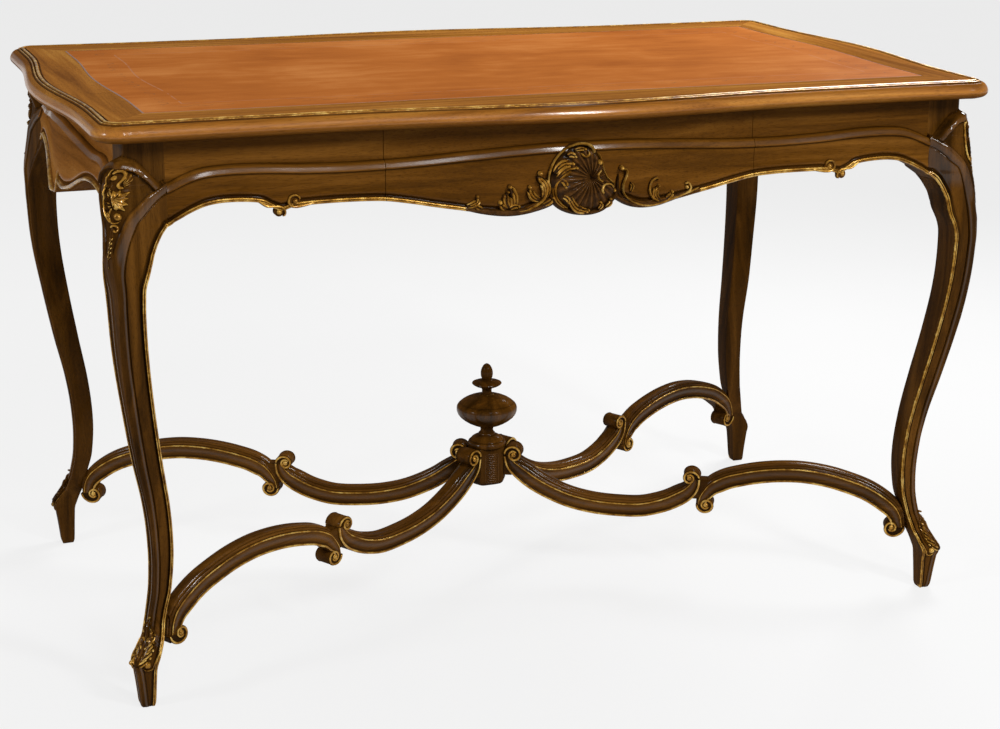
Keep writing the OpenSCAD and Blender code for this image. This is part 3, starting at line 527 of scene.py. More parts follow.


# Top: four mitred frames round the leather

# Moulding of the frame: distance out from the gilt line, height, gold and tone. The tone is painted shade in
# the grooves, on the upper slope and under the nosing, and a painted highlight on the nosing's widest round
TOP_PROFILE = [
    [-30, 760, 0, 1.0], [-9, 760, 0, 1.0], [-7.0, 760, 0, 0.95], [-6.2, 759.4, 0, 0.4],
    [-5.4, 759.0, 0, 0.25], [-4.7, 759.4, 0, 0.4], [-4.1, 760.2, 0.4, 0.9], [-3.1, 761.2, 1.1, 1.15],
    [-1.9, 761.4, 1.2, 1.3], [-0.8, 761.0, 1.1, 1.1], [-0.1, 760.0, 0.3, 0.5], [0.4, 758.8, 0, 0.25],
    [1.0, 758.4, 0, 0.2], [1.6, 759.0, 0.2, 0.6], [2.4, 760.0, 1.1, 1.3], [3.3, 759.7, 0.7, 1.0],
    [3.9, 758.3, 0, 0.4], [4.4, 757.3, 0, 0.22], [5.0, 757.1, 0, 0.25], [5.6, 757.4, 0, 0.6],
    [6.4, 757.5, 0, 0.82], [8.4, 756.9, 0, 0.9], [10.6, 755.6, 0, 1.0], [12.6, 753.7, 0, 1.1],
    [14.2, 751.3, 0, 1.3], [15.4, 748.6, 0, 1.45], [16, 746.0, 0, 1.3], [15.8, 744.2, 0, 1.0],
    [14.9, 741.9, 0, 0.85], [13.2, 739.8, 0, 0.75], [10.6, 738.1, 0, 0.65], [7.6, 737.2, 0, 0.5],
    [4, 736.2, 0, 0.4], [0, 736, 0, 0.35],
]


def corner_arc(w):
    """A point of the gilt line round the corner, at angle w."""
    r = CORNER_R
    return [CORNER_X - r + r * math.cos(w), CORNER_Y - r + r * math.sin(w)]


MITRE_OUT = np.array(corner_arc(math.pi / 4))
MITRE_RUN = (MITRE_OUT[0] - LEATHER_X) / (MITRE_OUT[1] - LEATHER_Y)


def frame_piece(name, line, leather, lip, out, material, x=False, y=False):
    """One side of the frame, from its gilt line, the leather's edge, the lip under it and the ways out."""
    rings = []
    for b, a, k, n in zip(line, leather, lip, out):
        wide = np.linalg.norm(b - a)
        across = (b - a) / wide
        rounded = a + 0.5 * across
        ring = [[*k, FRIEZE_TOP], [*k, LIP_Z], [*a, LIP_Z], [*a, TABLE_H - 0.3], [*rounded, TABLE_H]]
        for off, z, _, _ in TOP_PROFILE:
            # the flat part near the leather goes straight across, the moulding square to the line
            q = b + across * max(off, 0.7 - wide) if off < -8 else b + off * n
            ring.append([*q, z])
        rings.append(ring)
    gold = [[0] * 5 + [row[2] for row in TOP_PROFILE]] * len(rings)
    # painted shade on the lip under the leather and on the leather's edge
    tone = [[0.5, 0.5, 0.5, 0.6, 0.95] + [row[3] for row in TOP_PROFILE]] * len(rings)
    points, faces = loft(rings)
    piece(name + "_shaped", turned_over(points, x, y), faces, material, [name],
          gold=gold, tone=tone)


def with_corners(corner_end, rows, flip):
    """A side's gilt line from mitre to mitre, from half of it, and the ways out from it."""
    corner = [corner_arc(w) for w in np.linspace(math.pi / 4, corner_end, 9)]
    half = np.array(corner + rows)
    line = np.concatenate([half, half[-2::-1] * flip])
    out = normals_of(line) * (-1 if corner_end else 1)
    mitre = MITRE_OUT - [LEATHER_X, LEATHER_Y]
    mitre /= np.linalg.norm(mitre)
    out[0] = mitre
    out[-1] = mitre * flip
    return line, out


def long_frame(name, y):
    """The frame's front or back."""
    xs = np.linspace(CORNER_X - CORNER_R - 4, 0, 70)
    line, out = with_corners(math.pi / 2, [[x, front_y(x)] for x in xs], [-1, 1])
    full = np.ones(len(line))
    leather = np.column_stack([line[:, 0] * LEATHER_X / MITRE_OUT[0], full * LEATHER_Y])
    lip = np.column_stack([leather[:, 0] * (LEATHER_X - MITRE_RUN * LIP) / LEATHER_X,
                           full * (LEATHER_Y - LIP)])
    frame_piece(name, line, leather, lip, out, "top_x", y=y)


def end_frame(name, x):
    """One of the frame's ends."""
    ys = np.linspace(CORNER_Y - CORNER_R - 4, 0, 50)
    line, out = with_corners(0, [[end_x(y), y] for y in ys], [1, -1])
    y = line[:, 1] * LEATHER_Y / MITRE_OUT[1]
    leather = np.column_stack([leather_end(y), y])
    lip = np.column_stack([leather[:, 0] - MITRE_RUN * LIP, y * (LEATHER_Y - LIP) / LEATHER_Y])
    frame_piece(name, line, leather, lip, out, "top_y", x=x)


# Run along the border from one side's middle to the next
SIDE_RUN = 2000


def leather_top():
    """The leather as rings going in from its edge, so that its border can follow the edge."""
    side = 60
    t = np.linspace(-1, 1, side + 1)[:-1]
    full = np.ones(side)
    rings = []
    uv = []
    for d in (0.3, 1.5, 3, 6, 12, 20, 28, 34, 40, 46, 52, 58, 62, 70, 90, 120, 160, 200, 240, 284):
        hy = LEATHER_Y - d
        ys = t * hy
        xs = t * (LEATHER_X - d)
        right = leather_end(ys * LEATHER_Y / hy) - d
        ring = np.concatenate([np.column_stack([right, ys]), np.column_stack([-xs, full * hy]),
                               np.column_stack([-right, -ys]), np.column_stack([xs, -full * hy])])
        run = np.concatenate([ys, SIDE_RUN - xs, 2 * SIDE_RUN + ys, 3 * SIDE_RUN + xs])
        high = LEATHER_Z - (0.3 if d < 1 else 0)
        rings.append(np.column_stack([ring, np.full(4 * side, high)]))
        uv.append(np.column_stack([run, np.full(4 * side, d)]))
    low = rings[0].copy()
    low[:, 2] = LEATHER_LOW
    points, faces = loft([low] + rings)
    piece("writing_leather_tooled", points, faces, "leather", ["writing_leather"],
          uv=np.concatenate([uv[0]] + uv))


# Frieze

# Mouldings of the aprons: out, up, gold and tone, against the face or band and the ridge or lower edge. Tones
# below one are painted shade in the grooves, under the ridge and in the cove; above one they mark the
# polished crests
RIDGE_FACE = [[-0.3, 6.9, 0, 0.45], [0.6, 6.4, 0, 0.35], [2.6, 6.2, 0, 0.7], [5.4, 5.2, 0, 0.9],
              [7.0, 3.7, 0, 1.1], [8.4, 1.3, 0, 1.15]]
RIDGE_BAND = [[0.6, -1.3, 0, 1.15], [1.3, -3.0, 0, 1.0], [0.9, -4.0, 0, 0.85], [-0.2, -4.5, 0, 0.6],
              [-1.6, -4.7, 0, 0.4], [-2.0, -5.6, 0, 0.5], [-1.4, -7.5, 0, 0.9]]
EDGE_BEADS = [[-1.2, 12, 0, 1.05], [-1.0, 10.8, 0, 1.1], [-1.6, 9.8, 0, 0.7], [-3.0, 8.6, 0, 0.4],
              [-3.6, 7.2, 0, 0.3], [-3.0, 6.1, 0, 0.35], [-1.2, 5.4, 0.3, 0.6], [0.2, 4.9, 1, 1.0],
              [0.7, 4.1, 1, 1.1], [0.4, 3.3, 0.9, 0.9], [-0.3, 2.9, 0.1, 0.5], [0.2, 2.5, 0.7, 0.8],
              [1.0, 1.8, 1, 1.1], [0.9, 1.0, 1, 1.1], [-0.4, 0.2, 0.8, 0.9], [-2.4, 0, 0, 0.6]]


def moved(rows, out, up):
    """Rows of a section, moved out and up."""
    return [[out + a, up + b, gold, tone] for a, b, gold, tone in rows]


def apron_ring(inner, face, top, ridge, low):
    """A section of an apron: depth out, height, gold and tone, from the inner edge round."""
    band = face + BAND_PROUD
    upper = [[face, top + (ridge + 7.6 - top) * t, 0, 1.0] for t in np.linspace(0.1, 1, 5)]
    start = ridge - 7.5
    end = low + 12
    hollow = [[band - 1.4 - 0.8 * math.sin(math.pi * t), start + (end - start) * t, 0, 1.0]
              for t in np.linspace(0.15, 0.85, 5)]
    # the inner face and the top's edge are darkened as painted shade
    return np.array([[inner, low, 0, 0.5], [inner, top, 0, 0.6], [face - 0.6, top, 0, 0.7],
                     [face, top - 0.6, 0, 0.8]] + upper + moved(RIDGE_FACE, face, ridge)
                    + moved(RIDGE_BAND, band, ridge) + hollow + moved(EDGE_BEADS, band, low))


def strip(sections, place):
    """A skin over apron sections, each put in its place, with its marks."""
    points, faces = loft([place(k, s) for k, s in enumerate(sections)])
    return points, faces, np.array([s[:, 2] for s in sections]), np.array([s[:, 3] for s in sections])


def front_strip(x0, x1, inner=APRON_IN_Y, top=FRIEZE_TOP, step=2.5):
    """The skin of an apron or drawer front from x0 to x1."""
    xs = np.linspace(x0, x1, int((x1 - x0) / step) + 2)
    rows = [apron_ring(inner, f - FRIEZE_SET, top, r, e)
            for f, r, e in zip(front_y(xs), ridge_z(xs), edge_z(xs))]
    return strip(rows, lambda k, s: np.column_stack([np.full(len(s), xs[k]), -s[:, 0], s[:, 1]]))


def end_strip():
    """The skin of the right end apron."""
    ys = np.linspace(-JOINT_Y, JOINT_Y, 180)
    rows = [apron_ring(APRON_IN_X, f - FRIEZE_SET, FRIEZE_TOP, r, e)
            for f, r, e in zip(end_x(ys), end_ridge_z(ys), end_edge_z(ys))]
    return strip(rows, lambda k, s: np.column_stack([s[:, 0], np.full(len(s), ys[k]), s[:, 1]]))


# Carving: strands and leaves that follow the surface of their pile

# Shapes by share of the radius and of the rise, where a height below zero is in millimetres
BOSS_SHAPE = [(1.1, -1.5), (1.0, 0.0), (0.92, 0.45), (0.7, 0.8), (0.4, 0.96), (0.05, 1.0)]
LEAF_SHAPE = [(1.06, -1), (1.0, 0.15), (0.93, 0.55), (0.8, 0.85), (0.62, 1.0), (0.42, 0.95), (0.22, 0.75),
              (0.04, 0.5)]
# Share of the radius and height in millimetres
DISC_SHAPE = [(1.0, -7.0), (1.0, 1.2), (0.86, 1.8), (0.1, 1.4)]


def front_surface(p):
    """Points x, z and height above the lower band, out on the front of the frieze."""
    p = np.asarray(p, float)
    y = front_y(p[:, 0]) - FRIEZE_SET + BAND_PROUD - 2.0 + p[:, 2]
    return np.column_stack([p[:, 0], -y, p[:, 1]])


def end_surface(p):
    """The same on the right end: points y, z and height."""
    p = np.asarray(p, float)
    x = end_x(p[:, 0]) - FRIEZE_SET + BAND_PROUD - 2.0 + p[:, 2]
    return np.column_stack([x, p[:, 0], p[:, 1]])


def strand(pile, line, width, rise, lift=0.0, step=1.2, gold=1.0, base=-1.5, ends=0.15, shade=1.0):
    """A raised rounded strand along line. Width and rise are numbers or change along its length."""
    p = even_line(line, step)
    n = len(p)
    u = np.linspace(0, 1, n)
    taper = np.sqrt(np.clip(np.minimum(u, 1 - u) / ends, 0.02, 1))
    wide = along(width, u) * taper
    high = along(rise, u)
    side = normals_of(p, TINY)
    # the tone darkens the strand's foot as painted shade
    half = [(-0.62, base, 0, 0.4), (-0.5, 0.0, 0, 0.5), (-0.46, 0.45, 0.45, 0.8), (-0.3, 0.82, 1, 1)]
    shape = half + [(0, 1.0, 1, 1.1)] + [(-s, *rest) for s, *rest in half[::-1]]
    rings = []
    for k in range(n):
        ring = [[p[k, 0] + s * wide[k] * side[k, 0], p[k, 1] + s * wide[k] * side[k, 1],
                 lift + (h * high[k] * taper[k] if h > 0 else h)] for s, h, _, _ in shape]
        rings.append(pile.surface(ring))
    pile.add(*loft(rings), np.tile([s[2] * gold for s in shape], (n, 1)),
             np.tile([s[3] * shade for s in shape], (n, 1)))


def boss(pile, x, z, r, rise, lift=0.0, gold=1.0):
    """A round button on the surface."""
    rings = [pile.surface(circle(x, z, s * r, BOSS_POINTS, lift + (h * rise if h > 0 else h)))
             for s, h in BOSS_SHAPE]
    marks = np.repeat([0.0] * 2 + [gold] * (len(BOSS_SHAPE) - 2), BOSS_POINTS)
    # the boss's foot is darkened as painted shade
    pile.add(*loft(rings), marks, np.where(marks > 0, 1.05, 0.5))


def plume(pile, line, width, rise, lift=0.0, strands=3, tip=1.0, gold=1.0, lead=None):
    """A flame-shaped leaf: an ungilded body darkened as painted shade, gilt fronds along it, and a tip that
    curls over.
    """
    p = even_line(line, 0.8)
    n = len(p)
    u = np.linspace(0, 1, n)
    side = normals_of(p, TINY)
    strand(pile, p[::3] if n > 12 else p,
           [[0, width * 0.75], [0.35, width * 1.05], [0.75, width * 0.7], [1, width * 0.4]],
           rise * 0.6, lift, gold=0.0, ends=0.1, shade=0.45)
    lead = (strands - 1) / 2 if lead is None else lead
    for k in range(strands):
        o = (k / (strands - 1) - 0.5) * 2
        stop = 1 - 0.2 * abs(k - lead)
        keep = (u >= 0.02) & (u <= max(stop, 0.35))
        fan = width * 0.36 * o * (0.55 + 0.75 * np.sin(np.pi * np.clip(u * 0.9 + 0.05, 0, 1)))
        q = (p + side * fan[:, None])[keep]
        if len(q) < 4:
            continue
        strand(pile, q[::max(1, len(q) // 8)],
               [[0, width / strands * 0.6], [0.45, width / strands * 1.25], [1, width / strands * 1.3]],
               (rise * 0.4, rise * 0.85, rise * 1.15), lift + 0.3, 0.9,
               gold=gold * (1.0 if k % 2 == 0 else 0.8), ends=0.1)
    if tip:
        boss(pile, *p[-1], max(width * 0.24, 1.6) * tip, rise * 1.3, lift, gold)


def leaf(pile, points, rise, ribs=9, gold=0.7, shade=1.0):
    """A broad carved leaf: flutes run from its root, the first point, to the outline of the others."""
    root = np.array(points[0], float)
    edge = even_line(points[1:] + points[1:2], 0.7)[:-1]
    flute = np.cos(2 * math.pi * ribs * np.linspace(0, 1, len(edge), endpoint=False))
    rings = []
    marks = []
    tones = []
    for u, h in LEAF_SHAPE:
        high = np.full(len(edge), -1.5) if h < 0 else rise * h + 0.2 * rise * flute * min(1, 3 * u)
        rings.append(pile.surface(np.column_stack([root + u * (edge - root), high])))
        marks.append(gold * (0.75 + 0.2 * flute) if h > 0.2 else 0 * flute)
        # painted shade in the flutes' hollows and at the leaf's foot
        tones.append(shade * (0.85 + 0.3 * flute) * (0.6 if u > 0.95 else 1))
    pile.add(*loft(rings), np.array(marks), np.array(tones))


def about(centre, moves):
    """Points by how far they lie from a centre."""
    return [[centre[0] + dx, centre[1] + dz] for dx, dz in moves]


def fixed_apron(name, x):
    """An apron beside the drawer, with a pair of scrolls where its lower edge turns."""
    pile = Pile(front_surface)
    pile.add(*front_strip(DRAWER_HW + 0.5, JOINT_X))
    a = (0.705 * JOINT_X, edge_z(0.705 * JOINT_X) + 8)
    b = (0.742 * JOINT_X, edge_z(0.742 * JOINT_X) - 1.5)
    disc(pile, *a, 7.4)
    disc(pile, *b, 6.0)
    # the edge's bead runs into the upper scroll from the middle and into the lower one from the leg
    strand(pile, [[a[0] - 26, edge_z(a[0] - 26) + 3]] + about(a, [
        [-12, -6.5], [-2, -7.6], [5, -5.6], [7.4, 0], [4.8, 5.4], [-1, 7], [-5.6, 4.4], [-6.2, 0.6]]),
        (3.2, 3.6, 2.6), (3, 4.2), 1.0, 0.9, ends=0.04)
    boss(pile, a[0] - 0.6, a[1] - 0.4, 3.5, 5.0, 1.0)
    strand(pile, [[b[0] + 26, edge_z(b[0] + 26) + 3]] + about(b, [
        [15, 8.2], [6, 7.4], [-1.5, 6.2], [-6.4, 3.4], [-7.6, -2.2], [-4.6, -6]]),
        (3.2, 3.6, 2.4), (3, 4), 1.0, 0.9, ends=0.04)
    boss(pile, *b, 3.6, 4.6, 1.0)
    pile.make(name + "_carved", "front", [name], x=x)


def disc(pile, x, z, r):
    """The round block under a scroll, darkened as painted shade inside the scroll."""
    rings = [pile.surface(circle(x, z, s * r, DISC_POINTS, h)) for s, h in DISC_SHAPE]
    pile.add(*loft(rings), 0.0, np.repeat([0.6, 0.9, 0.8, 0.55], DISC_POINTS))


def end_apron(name, x):
    """An end apron, with the gilt beads along its lower edge."""
    pile = Pile(end_surface)
    pile.add(*end_strip())
    # the bead from the back hangs as a tongue, the one from the front curls up beside it
    strand(pile, [[262, 648], [236, 649], [205, 645], [179, 641], [140, 637], [112, 633], [90, 626],
        [75, 615], [60, 608], [44, 607]], [[0, 4], [0.5, 5], [0.85, 7], [1, 9]], [[0, 4], [0.5, 5],
        [0.85, 6.5], [1, 7]], 0.6, 1.4, gold=1.5, ends=0.05, shade=1.2)
    strand(pile, [[-3, 641], [-6, 634], [-13, 629], [-25, 627], [-42, 627], [-62, 630.5], [-82, 635.5],
        [-104, 643], [-125, 650.5], [-145, 656.5], [-164, 659.5], [-186, 660], [-206, 657.5], [-230, 652],
        [-252, 646], [-271, 638]], [[0, 4], [0.15, 6], [0.4, 5], [1, 4]], [[0, 4.5], [0.2, 5.5], [1, 3.6]],
        0.6, 1.4, gold=1.5, ends=0.04, shade=1.2)
    pile.make(name + "_carved", "end", [name], x=x)


# Where the drawer's carved leaves begin and end along X
LEAVES_FROM = (-158, -150)
LEAVES_TO = (176, 168)

long_frame("top_frame_front", True)
long_frame("top_frame_back", False)
end_frame("top_frame_left", True)
end_frame("top_frame_right", False)
leather_top()
fixed_apron("apron_front_right", False)
fixed_apron("apron_front_left", True)
end_apron("apron_right", False)
end_apron("apron_left", True)
points, faces, gold, tone = front_strip(-JOINT_X, JOINT_X, step=3.5)
piece("apron_back_shaped", turned_over(points, y=True), faces, "front", ["apron_back"],
      gold=gold, tone=tone)
points, faces, gold, tone = front_strip(-DRAWER_HW + 0.25, DRAWER_HW - 0.25, APRON_IN_Y + 0.5, FRIEZE_TOP - 1)
# the edge's gilt bead ends where the carved leaves begin
carved = ease(*LEAVES_FROM, points[:, 0]) * ease(*LEAVES_TO, points[:, 0])
gold = gold.ravel() * (1 - carved)
piece("drawer_front_shaped", points, faces, "front", ["drawer_front"], "drawer", gold, tone)


# Legs

# Height, then how far the outer faces lie in from the corner and how thick the leg is, along X and Y
LEG_ROWS = [[0, 11, 31, 19, 19], [14, 10, 29, 21, 21], [35, 8, 27, 24, 24], [52, 6, 25, 27, 27],
            [60, 4, 22, 30, 30], [68, 6, 22, 31, 31], [78, 13, 26, 28, 28], [92, 21, 34, 25, 26],
            [115, 28, 45, 23, 24], [150, 35, 47, 25, 29], [200, 37, 44, 27.5, 33],
            [260, 32, 36.5, 29.8, 35.5], [330, 19, 24, 33.2, 40], [400, 8, 11, 35.2, 42],
            [470, -1.4, -0.5, 37.8, 44], [530, -4.2, -7.2, 39.2, 47.2], [560, -5, -8.4, 42.2, 49.4]]
# Height, outer faces as above, inner faces out from the joint, and the share of the draw-back
KNEE_ROWS = [[585, -6, -8, 24.5, 33.5, 0.3], [600, -6, -7.6, 19.5, 27, 0.5],
             [612, -6, -7.2, 14, 20.5, 0.66], [622, -6, -6.8, 8, 13, 0.82], [630, -6, -6.4, 1.5, 6, 0.92],
             [636, -6, -6.2, -5, 0, 1], [640, -6, -6, -10, -8, 1], [656, -5.5, -5.5, -20, -20, 1],
             [672, -4.5, -4.5, -40, -40, 1], [684, -3.5, -3.5, -50, -50, 1], [692, -2, -2, -50, -50, 1],
             [702, 2, 2, -50, -50, 1], [710, 9, 9, -50, -50, 1], [715, 16, 16, -50, -50, 1]]
# How far the corner of the knee lies back from its faces: height, end face, long face
LEAN = [[540, 0, 0], [570, 3, 0], [590, 5, 0.5], [605, 7, 1], [620, 8.6, 2.4], [632, 9.6, 4.6],
        [645, 9.6, 7.6], [660, 11, 9], [680, 10.5, 8.6], [700, 7, 6], [715, 0, 0]]
POST_X = end_x(JOINT_Y) - FRIEZE_SET
POST_Y = front_y(JOINT_X) - FRIEZE_SET

# Heights with the outer faces, the inner faces and how far the inner edges draw back
SHAPE = [[z, CORNER_X - a, CORNER_Y - b, CORNER_X - a - c, CORNER_Y - b - d, 0] for z, a, b, c, d in LEG_ROWS]
SHAPE += [[z, CORNER_X - a, CORNER_Y - b, JOINT_X + c, JOINT_Y + d, f] for z, a, b, c, d, f in KNEE_ROWS]
SHAPE += [[718.5, POST_X, POST_Y, JOINT_X, JOINT_Y, 1], [736, POST_X, POST_Y, JOINT_X, JOINT_Y, 1]]

# Where the raised band of a face begins and ends, in millimetres in from the outer corner
BAND_START = [[0, 9], [60, 9.5], [150, 8.8], [200, 9], [244, 9.5], [271, 10.5], [305, 11.8], [340, 12.6],
              [386, 13.2], [423, 14], [459, 14.8], [493, 15.4], [536, 16], [560, 17.5], [580, 20],
              [600, 24], [617, 28], [629, 32.2], [641, 38], [649, 46], [658, 54.5], [665, 63.5],
              [670, 73.5], [680, 96], [720, 190]]
BAND_END = [[0, -12], [500, -9], [545, -1], [564, 2.6], [580, 4.8], [597, 7.8], [613, 11.5], [621, 14],
            [636, 19.6], [650, 27.6], [662, 39], [673, 51], [679, 63.6], [684, 74], [695, 100], [720, 170]]

# Height of the edge moulding above the lower band, by distance from the edge, high and low on the leg
EDGE_HIGH = [[0, -2.4], [0.3, -0.4], [1, 0.9], [1.8, 1.0], [2.5, 0.2], [2.9, -0.3], [3.3, 0.4], [4.1, 0.7],
             [4.9, 0.2], [5.4, -1.2], [6.1, -3.0], [7.2, -3.6], [8.6, -3.0], [9.8, -1.6], [10.8, -1.0],
             [12, -1.2], [20, -1.7], [200, -1.7]]
EDGE_LOW = [[0, -1.4], [0.3, -0.2], [1, 0.9], [1.8, 1.0], [2.5, 0.2], [2.9, -0.3], [3.3, 0.4], [4.1, 0.7],
            [4.8, 0.2], [5.2, -1.2], [5.8, -3.0], [6.6, -3.2], [7.3, -1.6], [8.2, -1.1], [9, -1.2],
            [200, -1.2]]
# Arc of the cap over the knee: share of the way from the joint to the corner, and height
CAP_ARC = [[0, 669], [0.118, 683], [0.316, 701], [0.526, 714], [0.8, 718], [1, 718.5]]


def band_distance(rows, x, z, outer, wide):
    """Distance square to one side of the raised band, and the place of that side."""
    at = outer - wide * curve_at(rows, z)
    slope = -wide * (curve_at(rows, z + 1) - curve_at(rows, z - 1)) / 2
    return (x - at) / math.sqrt(1 + slope**2), at


def edge_distance(x, z, line):
    """Distance of the points at height z from the gilt edge."""
    a = line[:-1]
    d = line[1:] - a
    rel = np.stack([x, np.full(len(x), z)], axis=1)[:, None, :] - a[None]
    k = np.clip((rel * d[None]).sum(2) / (d**2).sum(1)[None], 0, 1)
    return np.linalg.norm(rel - k[..., None] * d[None], axis=2).min(1)


# Gold and tone of the edge moulding, by distance from the edge; the low tones are painted shade in its
# grooves
EDGE_GOLD = [[0, 0.4], [0.5, 1], [2.0, 1], [2.5, 0.1], [3.2, 0.2], [3.6, 0.9], [4.5, 0.9], [5.0, 0],
             [9, 0], [200, 0]]
EDGE_TONE = [[0, 0.8], [1.5, 1.1], [2.6, 0.9], [2.9, 0.5], [3.3, 0.9], [4.4, 1.1], [5.1, 0.6], [5.6, 0.3],
             [7, 0.3], [8.4, 0.6], [9.6, 1.0], [12, 1.0], [200, 1.0]]
# Points across a face, how much wider the end face's band is, and where the cap's arc meets the corner
FACE_POINTS = 88
END_WIDER = 0.13
CAP_SIDE = (604, 358)
KNEE_TOP = 715.0
# Millimetres: how deep the band's roll at the knee and the carving's field lie, how high the cap rises
# and its half width
BAND_ROLL = 2.6
FIELD_DEPTH = 3.8
CAP_RISE = 2.2
CAP_HALF = 7.0
# How much lighter the polished crests are, and their share on the long and the end face
CREST_LIGHT = 0.22
CREST_SHARE = (1.0, 0.3)
# Share of the relief left on the feet, and the height they reach
FOOT_RELIEF = 0.35
FOOT_Z = 90


def knee_face(z, axis, inner, outer, r, out, back):
    """One face of the leg at height z: places across it, where it lies, gold and tone.

    Axis 0 is the face along X. Inner and outer are its sides, out is how far it stands, and back is
    the share by which its inner side draws back to the post.
    """
    joint = (JOINT_X, JOINT_Y)[axis]
    post = (POST_Y, POST_X)[axis]
    t = np.linspace(0, 1, FACE_POINTS)
    x = inner + t * (outer - r - inner)
    high = ease(430, 600, z)
    u = edge_distance(x, z, EDGES[axis]) / (0.86 + 0.14 * high)
    wide = 1 + END_WIDER * ease(600, 670, z) * axis
    sa, start = band_distance(BAND_START, x, z, outer, wide)
    sb, _ = band_distance(BAND_END, x, z, outer, wide)
    edge = high * curve_at(EDGE_HIGH, u) + (1 - high) * curve_at(EDGE_LOW, u)
    # the band: a roll at the knee, lower down a bead with a hollow beside it
    across = np.clip(sa / np.maximum(sa - sb, 1), 0, 1)
    roll = BAND_ROLL * (1 - np.sin(np.pi * across) ** 0.6)
    room = max(outer - start - 4.5, 4)
    bead = np.where(sa < 4.6, 2.2 * (1 - np.sin(np.pi * np.clip(sa / 4.6, 0, 1)) ** 0.7) * (sa < 2.3),
                    1.9 * np.sin(np.pi * np.clip((sa - 4.2) / room, 0, 1)) ** 0.8)
    upper = ease(560, 615, z)
    band = ease(-0.5, 0.2, sa)
    groove = 1.3 * np.exp(-((sa + 0.7) / 0.7) ** 2)
    depth = (1.0 - edge) * (1 - band) + (upper * roll + (1 - upper) * bead) * band + groove
    # the cap is a roll along an arc, over the sunk field that holds the carving
    share = (x - joint) / (CAP_SIDE[axis] - joint)
    above = z - (curve_at(CAP_ARC, np.clip(share, 0, 1)) - 6)
    heights = np.linspace(500, 720, 200)
    spans = 1 + END_WIDER * ease(600, 670, heights) * axis
    over = np.minimum(above, 2.4 * (z - np.interp(outer - x, spans * curve_at(BAND_END, heights), heights)))
    beside = ease(-0.4, 0.8, sb)
    cap = ease(-8.5, -6.5, above) * beside
    field = ease(-0.9, 0.9, sb) * (1 - cap)
    depth = depth * (1 - field) + FIELD_DEPTH * field
    round_top = np.sqrt(np.clip(1 - ((above + 2.0) / CAP_HALF) ** 2, 0, 1))
    depth = depth * (1 - cap) - CAP_RISE * cap * round_top
    lean = curve_at(LEAN, z)[1 - axis]
    depth = depth + lean * ease(0, 1, sb / np.maximum(sb + outer - x, 1)) * (sb > 0)
    depth = depth * (1.0 if z > FOOT_Z else FOOT_RELIEF)
    gold = np.clip(curve_at(EDGE_GOLD, u), 0, 1) * (band < 0.5)
    # tone: painted shade in the grooves beside the band, in the band's hollow lower down and under the cap,
    # and a painted highlight just inside the band's edge
    tone = curve_at(EDGE_TONE, u) * (1 - band) + band
    tone = tone * (1 - 0.62 * np.exp(-((sa + 0.6) / 0.9) ** 2) + 0.2 * np.exp(-((sa - 2.0) / 1.4) ** 2))
    tone *= 1 - 0.6 * np.exp(-((sb - 0.3) / 0.9) ** 2)
    tone *= 1 - 0.25 * (1 - upper) * band * np.sin(np.pi * np.clip((sa - 3.5) / room, 0, 1))
    # painted shade along the round moulding over the cap, under the cap's edge and in the sunk field round
    # the carving
    dark = 1 - 0.4 * np.exp(-((over - 6.6) / 0.9) ** 2) - 0.5 * beside * np.exp(-((above + 8.6) / 1.2) ** 2)
    dark = dark * (1 - 0.4 * field * ease(590, 606, z))
    # the crests of the cap and of the ridge's roll are polished, those on the end faces less
    crest = cap * np.exp(-((above + 2.0) / 3.4) ** 2)
    crest = np.maximum(crest, 0.8 * band * (1 - field) * upper * np.exp(-((across - 0.5) / 0.28) ** 2))
    dark = dark * (1 + CREST_LIGHT * crest * CREST_SHARE[axis])
    # painted shadow of the top on the post above the cap
    dark = dark * (1 - 0.25 * ease(5.5, 8, over))
    # the inner side draws back, and above the cap the face lies on the post with a round moulding between
    drawn = back * max(out - post - (BAND_PROUD + 1), 0) if z < 717 else 0
    y = out - drawn * (1 - t) ** 2 - depth
    rounded = np.sqrt(np.clip(1 - np.clip(over / 6, 0, 1) ** 2, 0, 1))
    y = np.where(over > 0, post + (y - post) * rounded, y)
    return x, np.maximum(y, post) if z > 690 else y, gold * (over < -1), tone * dark


def edge_curve(axis):
    """The gilt edge of a face: up the leg's inner edge, then along the apron."""
    joint = (JOINT_X, JOINT_Y)[axis]
    apron_z = (edge_z, end_edge_z)[axis]
    zs = np.linspace(0, apron_z(joint), 200)
    leg_part = np.column_stack([np.maximum(curve_at(SHAPE, zs)[:, 2 + axis], joint), zs])
    run = np.linspace(joint - 0.5, joint - 70, 30)
    return np.concatenate([leg_part, np.column_stack([run, apron_z(run)])])


